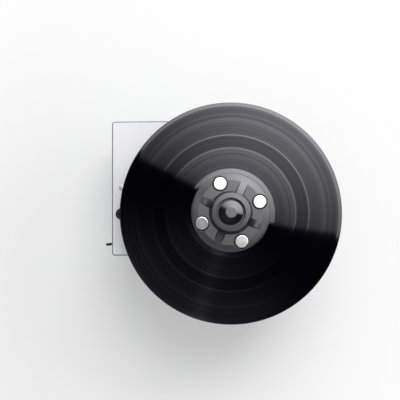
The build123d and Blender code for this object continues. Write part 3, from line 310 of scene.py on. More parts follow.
# %% Knob
BORE_R, STUD_R, FLAT_R = 3.68, 8.0, 7.5
STUD_LOW, KNOB_FOOT, BORE_END = RECORD_TOP + 5.5, RECORD_TOP + 8, RECORD_TOP + 15
SHOULDER = 7.0  # from the top down to where the knob is widest
knob_low, knob_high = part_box("clamp_knob")
KNOB_R, KNOB_TOP = (knob_high.x - knob_low.x) / 2 / MM, knob_high.z / MM
knob_outline = rounded(
    (BORE_R, STUD_LOW, 0.2),
    (STUD_R, STUD_LOW, 0.3),
    (STUD_R, KNOB_FOOT, 0.2),
    (KNOB_R, KNOB_FOOT, 0.4),
    (KNOB_R, KNOB_TOP - SHOULDER, 1.0),
    (FLAT_R, KNOB_TOP, 0.5),
    (0, KNOB_TOP, 0),
    (0, BORE_END, 0),
    (BORE_R, BORE_END, 0.3),
)
pieces["clamp_knob_turned"] = make_piece(
    "clamp_knob_turned", turned(knob_outline), "clamp", "black_gloss", ["clamp_knob"]
)

# %% Magnets
MAGNET_LOW, MAGNET_TOP = (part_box("clamp_magnets")[k].z / MM for k in (0, 1))
MAGNET_R, MAGNET_CIRCLE_R, FIRST_MAGNET = 8.8, 41.5, 20  # mm, mm, degrees
MAGNET_LEANS = ((0, 0, 1), (0, 0, 1), (-0.008, -0.010, 1), (0.002, 0.004, 1))
magnet_outline = rounded(
    (0, MAGNET_LOW, 0), (MAGNET_R, MAGNET_LOW, 0.5), (MAGNET_R, MAGNET_TOP, 0.9), (0, MAGNET_TOP, 0)
)
magnet_angles = np.radians(FIRST_MAGNET + 90 * np.arange(4))
magnet_directions = np.stack([np.cos(magnet_angles), np.sin(magnet_angles)], 1)
magnet_centres = np.array(AXIS) + MAGNET_CIRCLE_R * magnet_directions
magnet_disc = turned(magnet_outline - (0, MAGNET_TOP), (0, 0), 64)
magnets = together(*[
    pointed(magnet_disc, (*centre, MAGNET_TOP), lean)
    for centre, lean in zip(magnet_centres, MAGNET_LEANS)
])
pieces["magnets"] = make_piece("magnets", magnets, "clamp", "magnet_nickel", ["clamp_magnets"])

# %% [markdown]
# ## Platter, collar and socket
#
# Under the record the platter carries a skirt that hangs over a splash collar, so that fluid
# running off the record's edge can't reach the bearing. They are seen only from the side, but
# there they are what the record stands on. All are lathe work with broken edges.

# %% Platter
PAD_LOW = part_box("platter_pad")[0].z / MM
platter_outline = rounded(
    (5.0, PAD_LOW - 23, 0.3),  # hub
    (11.0, PAD_LOW - 23, 0.6),
    (11.0, PAD_LOW - 10, 0.6),
    (26.0, PAD_LOW - 10, 0.8),
    (26.0, PAD_LOW - 29, 0.4),  # skirt that hangs over the collar
    (29.0, PAD_LOW - 29, 0.4),
    (29.0, PAD_LOW - 10, 1.2),
    (46.5, PAD_LOW - 10, 0.6),  # plate
    (48.0, PAD_LOW - 8.5, 0.6),
    (48.0, PAD_LOW, 0.3),
    (47.0, PAD_LOW, 0),  # groove that lightens it, under the pad
    (47.0, PAD_LOW - 3.5, 0),
    (31.0, PAD_LOW - 3.5, 0),
    (31.0, PAD_LOW, 0),
    (5.0, PAD_LOW, 0),
)
pieces["platter_turned"] = make_piece(
    "platter_turned", turned(platter_outline, steps=120), "platter", "platter_acetal", ["platter"]
)

# %% Splash collar
collar_outline = rounded(
    (17.0, CASE_TOP, 0),  # flange on the top plate
    (24.0, CASE_TOP, 0),
    (24.0, CASE_TOP + 1.5, 0.4),
    (20.0, CASE_TOP + 2.5, 1.2),  # wall
    (19.5, CASE_TOP + 14, 0.5),
    (17.0, CASE_TOP + 14, 0.5),
)
pieces["collar_turned"] = make_piece(
    "collar_turned", turned(collar_outline), "case", "black_plastic", ["splash_collar"]
)

# %% Suction arm socket and its lip seal
socket_low, socket_high = (np.array(corner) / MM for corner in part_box("arm_socket"))
socket_centre = (socket_low + socket_high)[:2] / 2
STEM_R, SOCKET_TOP = 3.75, socket_high[2]
SEAT = SOCKET_TOP - 1.2  # the lip seal lies on it
socket_outline = rounded(
    (STEM_R, 150.0, 0.2),
    (5.5, 150.0, 0.3),
    (5.5, CASE_TOP, 0),  # flange on the top plate
    (7.8, CASE_TOP, 0),
    (7.8, SOCKET_TOP - 0.9, 0.5),
    (6.9, SOCKET_TOP, 0.5),
    (5.4, SOCKET_TOP, 0.15),
    (5.4, SEAT, 0),
    (STEM_R, SEAT, 0),
)
seal_outline = rounded(
    (STEM_R, SEAT, 0), (5.4, SEAT, 0), (5.4, SOCKET_TOP, 0.3), (STEM_R, SOCKET_TOP, 0.5)
)
for name, outline, slot, node in (
    ("socket_turned", socket_outline, "black_plastic", "arm_socket"),
    ("seal_turned", seal_outline, "black_rubber", "arm_seal"),
):
    pieces[name] = make_piece(name, turned(outline, socket_centre, 64), "case", slot, [node])

# %% Feet
foot_outline = rounded(
    (0, 10.0, 0),
    (0, 5.0, 0),  # recess for the screw
    (5.5, 5.0, 0.3),
    (5.5, 0.0, 0.4),
    (10.8, 0.0, 0.6),
    (11.8, 0.8, 0.6),
    (12.3, 4.6, 0.3),
    (11.9, 5.0, 0.3),  # line left by the two halves of the mould
    (12.3, 5.4, 0.3),
    (13.0, 10.0, 0.3),
)
CORNERS = ("front_left", "front_right", "rear_left", "rear_right")
for corner in CORNERS:
    low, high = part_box("foot_" + corner)
    centre = ((low.x + high.x) / 2 / MM, (low.y + high.y) / 2 / MM)
    name = "foot_turned_" + corner
    pieces[name] = make_piece(
        name, turned(foot_outline, centre, 64), "case", "black_rubber", ["foot_" + corner]
    )

# %% [markdown]
# ## Screws
#
# A socket screw is turned outside and six-sided inside. One grid can be both: on the rings of
# the socket the radius is that of a hexagon, across flats over cos(angle to the nearest flat),
# and on the rings of the head it is that of a circle. A boolean cut would give the same shape
# with worse faces.


# %% A socket-head screw
def socket_screw(head_r, head_h, flats, low):
    """Button head with a hexagonal socket, standing on height 0 and reaching down to low."""
    deep = 0.35 * head_h
    rings = np.array([
        (0, low, 0),
        (0.5 * head_r, low, 0),
        (0.5 * head_r, 0, 0),
        (0.96 * head_r, 0, 0),
        (head_r, 0.08 * head_h, 0),
        (head_r, 0.28 * head_h, 0),
        (0.95 * head_r, 0.52 * head_h, 0),
        (0.84 * head_r, 0.76 * head_h, 0),
        (0.7 * head_r, 0.94 * head_h, 0),
        (0.62 * head_r, head_h, 0),
        (0.55 * flats, head_h, 1),
        (0.5 * flats, 0.96 * head_h, 1),
        (0.5 * flats, deep, 1),
        (0, deep - 0.2, 0),
    ])
    steps = 36
    angle = 2 * pi * np.arange(steps) / steps
    hexagon = 1 / np.cos(angle % (pi / 3) - pi / 6)
    radius = rings[:, :1] * np.where(rings[:, 2:] > 0, hexagon, 1.0)
    height = np.broadcast_to(rings[:, 1:2], radius.shape)
    points = np.stack([radius * np.cos(angle), radius * np.sin(angle), height], -1).reshape(-1, 3)
    return points, grid_faces(len(rings), steps, closed=False)


# %% The same screw at several places
def screws(name, shape, places, out, body, slot, stands_for=()):
    """The same screw at several places, all facing one way, as one piece."""
    set_of = together(*[pointed(shape, np.array(place), out) for place in places])
    pieces[name] = make_piece(name, set_of, body, slot, stands_for)


# %% The screws that are seen
LID_HEAD_R = 3.7
lid_low, lid_high = (np.array(corner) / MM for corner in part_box("lid_screws"))
lid_y = (lid_low[1] + lid_high[1]) / 2
lid_places = [(x, lid_y, CASE_TOP) for x in (lid_low[0] + LID_HEAD_R, lid_high[0] - LID_HEAD_R)]
lid_screw = socket_screw(LID_HEAD_R, 2.2, 2.5, -8)
screws("lid_screws_turned", lid_screw, lid_places, (0, 0, 1), "case", "zinc_steel", ["lid_screws"])

rear_x = (CASE_LEFT + 8, CASE_RIGHT - 8)
rear_places = [(x, CASE_BACK, z) for x in rear_x for z in (24, 91, 158)]
screws("rear_screws", socket_screw(2.8, 1.7, 2.0, -4), rear_places, (0, 1, 0), "case", "zinc_steel")

INLET_SCREW_APART = 40
inlet_low, inlet_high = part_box("mains_inlet")
inlet_mid = (inlet_low + inlet_high) / 2 / MM
inlet_x = (inlet_mid.x - INLET_SCREW_APART / 2, inlet_mid.x + INLET_SCREW_APART / 2)
inlet_places = [(x, inlet_high.y / MM, inlet_mid.z) for x in inlet_x]
screws("inlet_screws", socket_screw(2.6, 1.5, 2.0, -4), inlet_places, (0, 1, 0), "case", "zinc_steel")

foot_boxes = [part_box("foot_" + corner) for corner in CORNERS]
foot_places = [((a.x + b.x) / 2 / MM, (a.y + b.y) / 2 / MM, 5.0) for a, b in foot_boxes]
screws("foot_screws", socket_screw(4.2, 2.4, 3.0, -6), foot_places, (0, 0, -1), "case", "zinc_steel")

base_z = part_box("base_plate")[0].z / MM
base_x, base_y = (CASE_LEFT + 7, CASE_RIGHT - 7), (CASE_FRONT + 7, CASE_BACK - 10)
base_places = [(x, y, base_z) for x in base_x for y in base_y]
screws("base_screws", socket_screw(2.8, 1.7, 2.0, -4), base_places, (0, 0, -1), "case", "zinc_steel")

# %% [markdown]
# ## Switch levers
#
# Two small toggle switches stand out of the left wall. Each lever is a thin metal neck with a
# moulded sleeve that widens towards a round tip. It is turned about its own line, which leans
# by the angle that the lever rests at, and its cross pin is the axle of the joint.

# %% Levers
lever_low, lever_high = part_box("motor_lever")
PIVOT_X, SWITCH_Y = CASE_LEFT - 3.5, (lever_low.y + lever_high.y) / 2 / MM
SLEEVE = PIVOT_X - lever_low.x / MM


def lever(height, tilt):
    """Sleeve and neck turned about the lever's line, which leaves the wall at a height and
    rises by tilt degrees, with the cross pin turned about Y."""
    outline = rounded(
        (0, -1.0, 0),
        (1.0, -1.0, 0.3),
        (1.0, 4.0, 0),
        (1.5, 4.0, 0.2),
        (2.0, SLEEVE - 1.6, 0.9),
        (1.6, SLEEVE, 0.75),
        (0, SLEEVE, 0),
    )
    pin = rounded((0, -2.1, 0), (0.8, -2.1, 0.15), (0.8, 2.1, 0.15), (0, 2.1, 0))
    pivot = np.array((PIVOT_X, SWITCH_Y, height))
    out = (-cos(radians(tilt)), 0, sin(radians(tilt)))
    origin = (0.0, 0.0)
    return together(
        pointed(turned(outline, origin, 40), pivot, out),
        pointed(turned(pin, origin, 24), pivot, (0, 1, 0)),
    )


for name, node, body, height, tilt in (
    ("motor_lever_turned", "motor_lever", "motor_toggle", 127.0, 0.0),
    ("vacuum_lever_turned", "vacuum_lever", "vacuum_toggle", 100.0, -14.0),
):
    pieces[name] = make_piece(name, lever(height, tilt), body, "black_plastic", [node])

# %% [markdown]
# ## Mouldings and nuts
#
# The small mouldings on the rear and the nuts of the switches are already right as solids.
# Only their edges are too sharp to catch the light, so each gets a softened copy, with an edge
# of a third of a millimetre on the mouldings and less on the nuts.

# %% Softened solids
for node, width, body, slot in (
    ("mains_inlet", 0.35, "case", "black_plastic"),
    ("rocker_frame", 0.35, "case", "black_plastic"),
    ("power_rocker", 0.35, "power_switch", "black_gloss"),
    ("drain_cap", 0.3, "drain_cap", "black_rubber"),
    ("switch_nuts", 0.15, "case", "chrome"),
):
    pieces[node + "_soft"] = softened(node, width, body, slot)

# %% [markdown]
# # Finishes
#
# Every finish is one Principled shader. Values that are the same all over are set on its own
# sockets, and patterns are wired in only where the real surface varies: grain, fine pits from
# the mould, brushing, dust. All patterns read Object coordinates in metres, so they keep their
# real scale and stay in place when a piece moves.


# %% A short way to wire a finish
class Finish:
    """A Principled material, with a few short ways to wire a pattern into its sockets."""

    def __init__(self, name, colour, roughness, metallic=0.0, **constants):
        self.material = bpy.data.materials.new(name)
        self.material.use_nodes = True
        self.tree = self.material.node_tree
        self.shader = self.tree.nodes["Principled BSDF"]
        self.colour = colour
        self.shader.inputs["Base Color"].default_value = (*colour, 1)
        self.shader.inputs["Roughness"].default_value = roughness
        self.shader.inputs["Metallic"].default_value = metallic
        for socket, value in constants.items():
            self.shader.inputs[socket.replace("_", " ")].default_value = value
        self.place = self.node("ShaderNodeTexCoord").outputs["Object"]

    def node(self, kind, *values, **settings):
        """Adds a node; values go to its inputs in order, as constants or links."""
        made = self.tree.nodes.new(kind)
        for setting, value in settings.items():
            setattr(made, setting, value)
        for socket, value in zip(made.inputs, values):
            if value is None:
                continue
            if isinstance(value, bpy.types.NodeSocket):
                self.tree.links.new(value, socket)
            else:
                socket.default_value = value
        return made

    def stretched(self, scale):
        """Object coordinates stretched differently along each axis."""
        return self.node("ShaderNodeMapping", self.place, None, None, scale).outputs[0]

    def noise(self, per_metre, detail=4.0, where=None, rough=0.55):
        """Fractal noise with a grain of one over per_metre."""
        made = self.node("ShaderNodeTexNoise")
        self.tree.links.new(where or self.place, made.inputs["Vector"])
        made.inputs["Scale"].default_value = per_metre
        made.inputs["Detail"].default_value = detail
        made.inputs["Roughness"].default_value = rough
        return made.outputs["Fac"]

    def between(self, value, low, high, start=0.0, end=1.0):
        """The value's range start..end spread over low..high."""
        return self.node("ShaderNodeMapRange", value, start, end, low, high).outputs[0]

    def math(self, operation, a, b):
        """Two numbers put through one of the Math node's operations."""
        return self.node("ShaderNodeMath", a, b, operation=operation).outputs[0]

    def vary_colour(self, value, darker, lighter, start=0.3, end=0.7):
        """Base colour from darker to lighter times the finish's own colour."""
        mix = self.node("ShaderNodeMix", data_type="RGBA")
        for socket, factor in ((mix.inputs[6], darker), (mix.inputs[7], lighter)):
            tint = factor if isinstance(factor, tuple) else tuple(c * factor for c in self.colour)
            socket.default_value = (*tint, 1)
        self.tree.links.new(self.between(value, 0, 1, start, end), mix.inputs[0])
        self.tree.links.new(mix.outputs[2], self.shader.inputs["Base Color"])
        return mix

    def vary_roughness(self, value, low, high, start=0.3, end=0.7):
        """Roughness from low to high over the value's range start..end."""
        self.tree.links.new(self.between(value, low, high, start, end), self.shader.inputs["Roughness"])

    def bump(self, height, depth):
        """Bump whose height of 1 stands depth millimetres proud."""
        made = self.node("ShaderNodeBump")
        made.inputs["Distance"].default_value = depth * MM
        self.tree.links.new(height, made.inputs["Height"])
        self.tree.links.new(made.outputs[0], self.shader.inputs["Normal"])


finishes = {}


def finished(name, finish):
    """Keeps a finish under the name that its pieces ask for."""
    finishes[name] = finish
    print(name, "has", len(finish.tree.nodes), "nodes")


# %% [markdown]
# ## Three kinds of surface
#
# Most of the machine is painted sheet, worked metal or moulded plastic, and what sets the
# members of one kind apart is a colour, a gloss and the size of a grain. So each kind is a
# function, and a finish is one line. All three vary their tone and gloss with soft clouds,
# because an even surface looks like a drawing, and all have a bump with a real depth.


# %% Paint, worked metal, moulded plastic
def coated(name, colour, roughness, peel=0.012):
    """Paint baked on sheet: a fine peel, soft clouds in its gloss and a few pale specks."""
    finish = Finish(name, colour, roughness)
    clouds = finish.noise(28, 5)
    specks = finish.noise(1400, 2)
    finish.vary_colour(finish.math("ADD", clouds, specks), 0.94, 1.04, 0.8, 1.2)
    finish.vary_roughness(clouds, roughness - 0.06, roughness + 0.07)
    finish.bump(finish.noise(750, 3), peel)
    finished(name, finish)


def metal(name, colour, roughness, grain=(300, 300, 300), depth=0.004, **constants):
    """Worked metal: a grain stretched along the tool's way, with clouds in tone and gloss."""
    finish = Finish(name, colour, roughness, 1.0, **constants)
    lines = finish.noise(1.0, 5, finish.stretched(grain))
    clouds = finish.noise(45, 4)
    finish.vary_colour(finish.math("ADD", lines, clouds), 0.86, 1.08, 0.75, 1.25)
    finish.vary_roughness(lines, roughness - 0.08, roughness + 0.1)
    finish.bump(lines, depth)
    finished(name, finish)


def moulded(name, colour, roughness, pits=2200, depth=0.012, **constants):
    """Moulded plastic: even spark-eroded pits, faint flow clouds and a trace of dust."""
    finish = Finish(name, colour, roughness, **constants)
    clouds = finish.noise(35, 5)
    grain = finish.noise(pits, 2)
    finish.vary_colour(clouds, 0.86, 1.16)
    worn = finish.math("ADD", clouds, grain)
    finish.vary_roughness(worn, roughness - 0.07, roughness + 0.09, 0.75, 1.25)
    finish.bump(grain, depth)
    finished(name, finish)


# %% Painted and plated steel, castings
coated("case_steel", (0.62, 0.63, 0.65), 0.42)
metal("zinc_steel", (0.60, 0.60, 0.60), 0.34, (500, 60, 500))
metal("motor_steel", (0.58, 0.58, 0.58), 0.32, (90, 90, 900))
metal("spindle_steel", (0.66, 0.66, 0.67), 0.2, (60, 60, 2200), 0.002)
metal("chrome", (0.80, 0.80, 0.80), 0.12, (300, 300, 300), 0.001)
metal("brass_nickel", (0.66, 0.63, 0.55), 0.26, (200, 200, 1200), 0.002)
metal("bronze", (0.55, 0.38, 0.20), 0.4, (1500, 1500, 1500), 0.006)
metal("aluminium_cast", (0.66, 0.66, 0.67), 0.45, (700, 700, 700), 0.02)
metal("copper_laminate", (0.26, 0.22, 0.20), 0.5, (40, 40, 2400), 0.02)

# %% Mouldings, rubber, paper
COOL = (1.0, 0.985, 1.06)  # what dark gloss gives back of the studio's light is a little blue
moulded("black_plastic", (0.007, 0.007, 0.008), 0.45, IOR=1.3)
polished = {"IOR": 1.72, "Specular_IOR_Level": 1.0, "Specular_Tint": (*COOL, 1)}
moulded("black_gloss", (0.003, 0.003, 0.004), 0.19, 900, 0.0008, **polished)
moulded("platter_acetal", (0.05, 0.05, 0.052), 0.4, 1500, 0.004)
moulded("black_rubber", (0.03, 0.03, 0.03), 0.7, 1200, 0.02)
moulded("pad_rubber", (0.04, 0.04, 0.042), 0.75, 900, 0.03)
moulded("acetal_white", (0.82, 0.82, 0.79), 0.35, 1200, 0.003)
moulded("tank_plastic", (0.78, 0.79, 0.78), 0.45, 900, 0.006, Subsurface_Weight=0.15)
moulded("hose_clear", (0.55, 0.56, 0.55), 0.35, 700, 0.006, Subsurface_Weight=0.2)
moulded("circuit_green", (0.05, 0.18, 0.09), 0.35, 1800, 0.004)
moulded("label_paper", (0.55, 0.53, 0.50), 0.65, 3000, 0.01)
print(len(finishes), "plain finishes")

# %% [markdown]
# ## Magnets
#
# The discs are plated with nickel and polished. A fully metallic shader with a low roughness
# is enough. Faint clouds in its tone and gloss stand for the waves of a thin plating.

# %% Magnet faces
magnet = Finish("magnet_nickel", (0.83, 0.82, 0.80), 0.17, 1.0)
magnet.vary_colour(magnet.noise(60, 4), 0.97, 1.03)
magnet.vary_roughness(magnet.noise(260, 4), 0.15, 0.19)
finished("magnet_nickel", magnet)

# %% [markdown]
# ## Clamp
#
# The clamp is a dark moulding with a fine, even grain. Nearly all that is seen of it is what
# it mirrors, so its own colour is almost black and its gloss is strong and blurred. Round each
# magnet the floor of its pocket is darkened with painted shade, which has no shape that is
# seen, only a tone. So the finish turns dull and black below a height and within a reach that
# together hold the floors of the four pockets and nothing else that is seen.

# %% Clamp, with painted shade round each magnet
POCKET_SHADE_HIGH, POCKET_SHADE_REACH, DECK = 3.2, 52.5, 3.0  # mm above the record, from the axis, above the record
clamp = Finish("clamp_grey", (0.014, 0.014, 0.015), 0.26, IOR=1.60, Specular_IOR_Level=1.0)
clamp_height = clamp.node("ShaderNodeSeparateXYZ", clamp.place).outputs[2]
deck_middle = (AXIS[0] * MM, AXIS[1] * MM, (RECORD_TOP + DECK) * MM)
reach = clamp.node("ShaderNodeVectorMath", clamp.place, deck_middle, operation="DISTANCE")
# Painted shade: this mask makes the pocket floors round the magnets black and dull.
pocket_shade = clamp.math(
    "MULTIPLY",
    clamp.math("LESS_THAN", clamp_height, (RECORD_TOP + POCKET_SHADE_HIGH) * MM),
    clamp.math("LESS_THAN", reach.outputs["Value"], POCKET_SHADE_REACH * MM),
)
clouds = clamp.between(clamp.noise(35, 5), 0.5, 0.0)
clamp.vary_colour(clamp.math("MAXIMUM", pocket_shade, clouds), 1.08, 0.1, 0.0, 1.0)
clamp.vary_roughness(clamp.noise(2600, 2), 0.22, 0.32)
# The painted shade also takes nearly all the reflection out of the pocket floors.
mirrored = clamp.between(pocket_shade, 1.0, 0.05)
tint = clamp.node("ShaderNodeVectorMath", mirrored, COOL, operation="MULTIPLY").outputs[0]
clamp.tree.links.new(tint, clamp.shader.inputs["Specular Tint"])
clamp.bump(clamp.noise(2600, 2), 0.002)
finished("clamp_grey", clamp)

# %% [markdown]
# ## Switches
#
# One solid is both the red body inside the wall and the threaded bush outside it. The finish
# tells them apart by where the surface is: left of the wall it is nickel, inside it is resin.

# %% Switches
switch = Finish("switch_red", (0.35, 0.05, 0.04), 0.4)
sideways = switch.node("ShaderNodeSeparateXYZ", switch.place).outputs[0]
outside = switch.math("LESS_THAN", sideways, CASE_LEFT * MM)
switch.vary_colour(outside, 1.0, (0.66, 0.64, 0.60), 0.0, 1.0)
switch.tree.links.new(outside, switch.shader.inputs["Metallic"])
switch.vary_roughness(switch.noise(900, 3), 0.28, 0.42)
switch.bump(switch.noise(1400, 2), 0.004)
finished("switch_red", switch)

# %% [markdown]
# ## The silver top
#
# The top plate is bead-blasted and anodised: it looks neither like a mirror nor like paint. A
# slightly metallic shader gives that mix, with a very fine blasted grain and soft clouds. Its
# edge is darkened with painted shade, a dark grey that stands for the dark room its curved edge
# mirrors. The finish knows the edge by its height, which is less than that of the face.

# %% Anodised top
SHADED_EDGE_BELOW = 0.2  # mm under the face
SHADED_EDGE_GREY = (0.12, 0.12, 0.13, 1)
top = Finish("top_aluminium", (0.79, 0.79, 0.815), 0.32, 0.12)
blasted = top.noise(2600, 3)
clouds = top.noise(16, 5)
face_tint = top.vary_colour(top.math("ADD", blasted, clouds), 0.965, 1.02, 0.75, 1.25)
top_height = top.node("ShaderNodeSeparateXYZ", top.place).outputs[2]
# Painted shade: below the face the edge takes a dark grey in place of what it would mirror.
shaded_edge = top.math("LESS_THAN", top_height, (CASE_TOP - SHADED_EDGE_BELOW) * MM)
edge_shade_mix = top.node("ShaderNodeMix", data_type="RGBA")
top.tree.links.new(shaded_edge, edge_shade_mix.inputs[0])
top.tree.links.new(face_tint.outputs[2], edge_shade_mix.inputs[6])
edge_shade_mix.inputs[7].default_value = SHADED_EDGE_GREY
top.tree.links.new(edge_shade_mix.outputs[2], top.shader.inputs["Base Color"])
top.vary_roughness(clouds, 0.29, 0.36)
top.bump(blasted, 0.006)
finished("top_aluminium", top)

# %% [markdown]
# ## Grooved vinyl
#
# What makes a record look like a record is that its groove walls tilt only towards and away
# from the spindle. A reflection is therefore smeared along the radius and stays sharp across
# it. The anisotropic part of the shader does that when its tangent points along the radius.
# The tangent is the Object coordinate measured from the spindle, turned into world space,
# because the record spins.

# %% Vinyl and the way of its grooves
vinyl = Finish("vinyl", (0.0003, 0.0002, 0.0013), 0.2, Anisotropic=1.0, Specular_IOR_Level=1.0)
axis_in_metres = (AXIS[0] * MM, AXIS[1] * MM, 0)
from_axis = vinyl.node("ShaderNodeVectorMath", vinyl.place, axis_in_metres, operation="SUBTRACT")
level = vinyl.node("ShaderNodeVectorMath", from_axis.outputs[0], (1, 1, 0), operation="MULTIPLY")
radius = vinyl.node("ShaderNodeVectorMath", level.outputs[0], operation="LENGTH").outputs["Value"]
outward = vinyl.node("ShaderNodeVectorMath", level.outputs[0], operation="NORMALIZE").outputs[0]
in_world = vinyl.node("ShaderNodeVectorTransform", outward, vector_type="VECTOR")
in_world.convert_from, in_world.convert_to = "OBJECT", "WORLD"
vinyl.tree.links.new(in_world.outputs[0], vinyl.shader.inputs["Tangent"])
print("the tangent is worked out by", len(vinyl.tree.nodes) - 2, "nodes")

# %% [markdown]
# The loudness of the music changes the groove from turn to turn, and quiet and loud passages
# are seen as dark and pale rings. Two things make them here. A colour ramp over the radius
# holds the share of the light that each part of the record gives back, from the label's edge
# to the rim. Noise that is read at the radius alone adds the fine rings within a track. Both
# go into the tint of the reflection. The smooth parts, which give back all of it, have no fine
# rings and a lower roughness.

# %% Rings
# Radius in millimetres and how much of the light its groove gives back, track by track.
TRACKS = [
    (50, 1.0), (59.8, 1.0), (60.4, 0.26), (67, 0.27), (73, 0.27), (76, 0.37), (79, 0.33), (80, 0.27),
    (84, 0.35), (87, 0.46), (87.8, 0.72), (88.8, 0.70), (89.4, 0.24), (92, 0.21), (96, 0.24),
    (104.3, 0.245), (105.2, 0.30), (105.9, 0.85), (106.7, 0.83), (107.2, 0.37), (113, 0.30),
    (118, 0.34), (123.5, 0.39), (125.5, 0.50), (128.5, 0.48), (129.5, 0.39), (134, 0.45),
    (142, 0.33), (143.5, 0.40), (145.6, 0.44), (146.2, 1.0),
]
RAMP_FROM, RAMP_TO = 45, 150  # mm


def rings(per_metre, detail, rough=0.6):
    """Noise along one line, the radius, so that it makes rings."""
    made = vinyl.node("ShaderNodeTexNoise", noise_dimensions="1D")
    vinyl.tree.links.new(radius, made.inputs["W"])
    made.inputs["Scale"].default_value = per_metre
    made.inputs["Detail"].default_value = detail
    made.inputs["Roughness"].default_value = rough
    return made.outputs["Fac"]


along_ramp = vinyl.between(radius, 0, 1, RAMP_FROM * MM, RAMP_TO * MM)
ramp = vinyl.node("ShaderNodeValToRGB", along_ramp)
ramp_stops = ramp.color_ramp.elements
for stop, (track_r, share) in enumerate(TRACKS):
    spot = (track_r - RAMP_FROM) / (RAMP_TO - RAMP_FROM)
    element = ramp_stops[stop] if stop < 2 else ramp_stops.new(spot)
    element.position = spot
    element.color = (share, share, share, 1)
grooved = vinyl.between(ramp.outputs[0], 1, 0, 0.6, 0.95)
lines = vinyl.math("ADD", rings(330, 5), vinyl.math("MULTIPLY", rings(95, 3), 0.6))
lively = vinyl.between(lines, 0.62, 1.38, 0.37, 1.23)
ringed = vinyl.node("ShaderNodeMix", grooved, None, 1.0, lively, data_type="FLOAT").outputs[0]
shown = vinyl.math("MULTIPLY", ramp.outputs[0], ringed)
VINYL_COOL = (1.0, 0.985, 1.085)  # bluer than the mouldings
bluish = vinyl.node("ShaderNodeVectorMath", shown, VINYL_COOL, operation="MULTIPLY").outputs[0]
vinyl.tree.links.new(bluish, vinyl.shader.inputs["Specular Tint"])
vinyl.tree.links.new(vinyl.between(grooved, 0.045, 0.072), vinyl.shader.inputs["Roughness"])
finished("vinyl", vinyl)

# %% [markdown]
# ## Each piece takes its finish
#
# The record of the part names a finish for every solid, and each piece made above carries the
# name of its own. So one loop over each is enough, and no piece can be left bare by mistake.

# %% Each piece takes its finish
for part in frame["record"]["subparts"]:
    solid = frame["nodes"][part["node"]].data
    solid.materials.clear()
    solid.materials.append(finishes[part["material_slot"]].material)
for piece in pieces.values():
    piece.data.materials.clear()
    piece.data.materials.append(finishes[piece["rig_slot"]].material)
print(len(pieces), "pieces made,", len(finishes), "finishes")

# %% [markdown]
# # The studio
#
# A white paper floor, one large lamp high behind the machine, and a white world.
# The lamp's level is plain: a mid grey renders as a mid grey.
#
# ## Floor
#
# The floor is a sheet of paper that runs far out of sight. It is a grid of points at height
# zero.

# %% Floor
FLOOR_HALF, FLOOR_LINES = 5.0, 21  # metres from its middle to its edge, lines each way
steps = np.linspace(-FLOOR_HALF, FLOOR_HALF, FLOOR_LINES)
across, along = np.meshgrid(steps, steps)
floor_points = np.stack([across, along, np.zeros_like(across)], -1).reshape(-1, 3)
index = np.arange(FLOOR_LINES**2).reshape(FLOOR_LINES, FLOOR_LINES)
floor_faces = np.stack([index[:-1, :-1], index[:-1, 1:], index[1:, 1:], index[1:, :-1]], -1)
floor_mesh = bpy.data.meshes.new("floor")
floor_mesh.from_pydata(floor_points.tolist(), [], floor_faces.reshape(-1, 4).tolist())
floor = bpy.data.objects.new("floor", floor_mesh)
bpy.context.scene.collection.objects.link(floor)
print("floor:", len(floor_mesh.polygons), "faces,", 2 * FLOOR_HALF, "m wide")

# %% [markdown]
# Close to the machine the paper is lit and takes the shadow. Farther out it fades, for the
# camera alone, into an even white, so that the sheet has no edge and no horizon. Its colour is
# darkened towards the left with painted shade, where the studio is darker, and a broad mottle
# keeps it from looking drawn.
# Gloss sees it much darker than the camera does: black metal and vinyl would be milky if a
# white sheet lay all round them.

# %% Floor paper
# Painted shade: the paper's colour darkens towards the left between these two places.
SHADE_LEFT, SHADE_RIGHT = -0.30, -0.02  # metres, where its tone starts and stops falling
WHITE_MIDDLE, WHITE_FROM, WHITE_TO = (-0.12, -0.08, 0), 0.2, 0.55  # metres
paper = Finish("floor_paper", (0.895, 0.895, 0.90), 0.9, Specular_IOR_Level=0.1)
floor_x = paper.node("ShaderNodeSeparateXYZ", paper.place).outputs[0]
# Painted shade: the paper's colour falls towards the left, standing for the darker side of the studio.
painted_falloff = paper.between(floor_x, 0, 1, SHADE_LEFT, SHADE_RIGHT)
shade_and_mottle = paper.math("ADD", painted_falloff, paper.math("MULTIPLY", paper.noise(3, 3), 0.2))
paper.vary_colour(shade_and_mottle, 0.93, 1.0, 0.1, 1.1)
far = paper.node("ShaderNodeVectorMath", paper.place, WHITE_MIDDLE, operation="DISTANCE")
fade = paper.between(far.outputs["Value"], 0, 1, WHITE_FROM, WHITE_TO)
ray = paper.node("ShaderNodeLightPath").outputs
white = paper.node("ShaderNodeEmission", (1, 1, 1, 1), 1.0).outputs[0]
black = paper.node("ShaderNodeEmission", (0, 0, 0, 1), 0.0).outputs[0]
whitened = paper.math("MULTIPLY", fade, ray["Is Camera Ray"])
faded = paper.node("ShaderNodeMixShader", whitened, paper.shader.outputs[0], white).outputs[0]
darkened = paper.math("MULTIPLY", ray["Is Glossy Ray"], 0.8)
blend = paper.node("ShaderNodeMixShader", darkened, faded, black)
paper.tree.links.new(blend.outputs[0], paper.tree.nodes["Material Output"].inputs["Surface"])
floor_mesh.materials.append(paper.material)
print("floor paper has", len(paper.tree.nodes), "nodes")

# %% [markdown]
# ## World
#
# The world has two jobs. As light it is an even white fill. As something to mirror it is a
# studio: a bright wall and ceiling on the lamp's side and a dark room on the other. A picture of
# a studio wrapped round the scene would do as well, but a few planes and ranges in the shader
# keep each edge exact and easy to move. A plane through the middle of the world cuts it along
# a straight edge, and the dot product of a ray with the normal of the plane tells which side
# of the edge the ray is on.


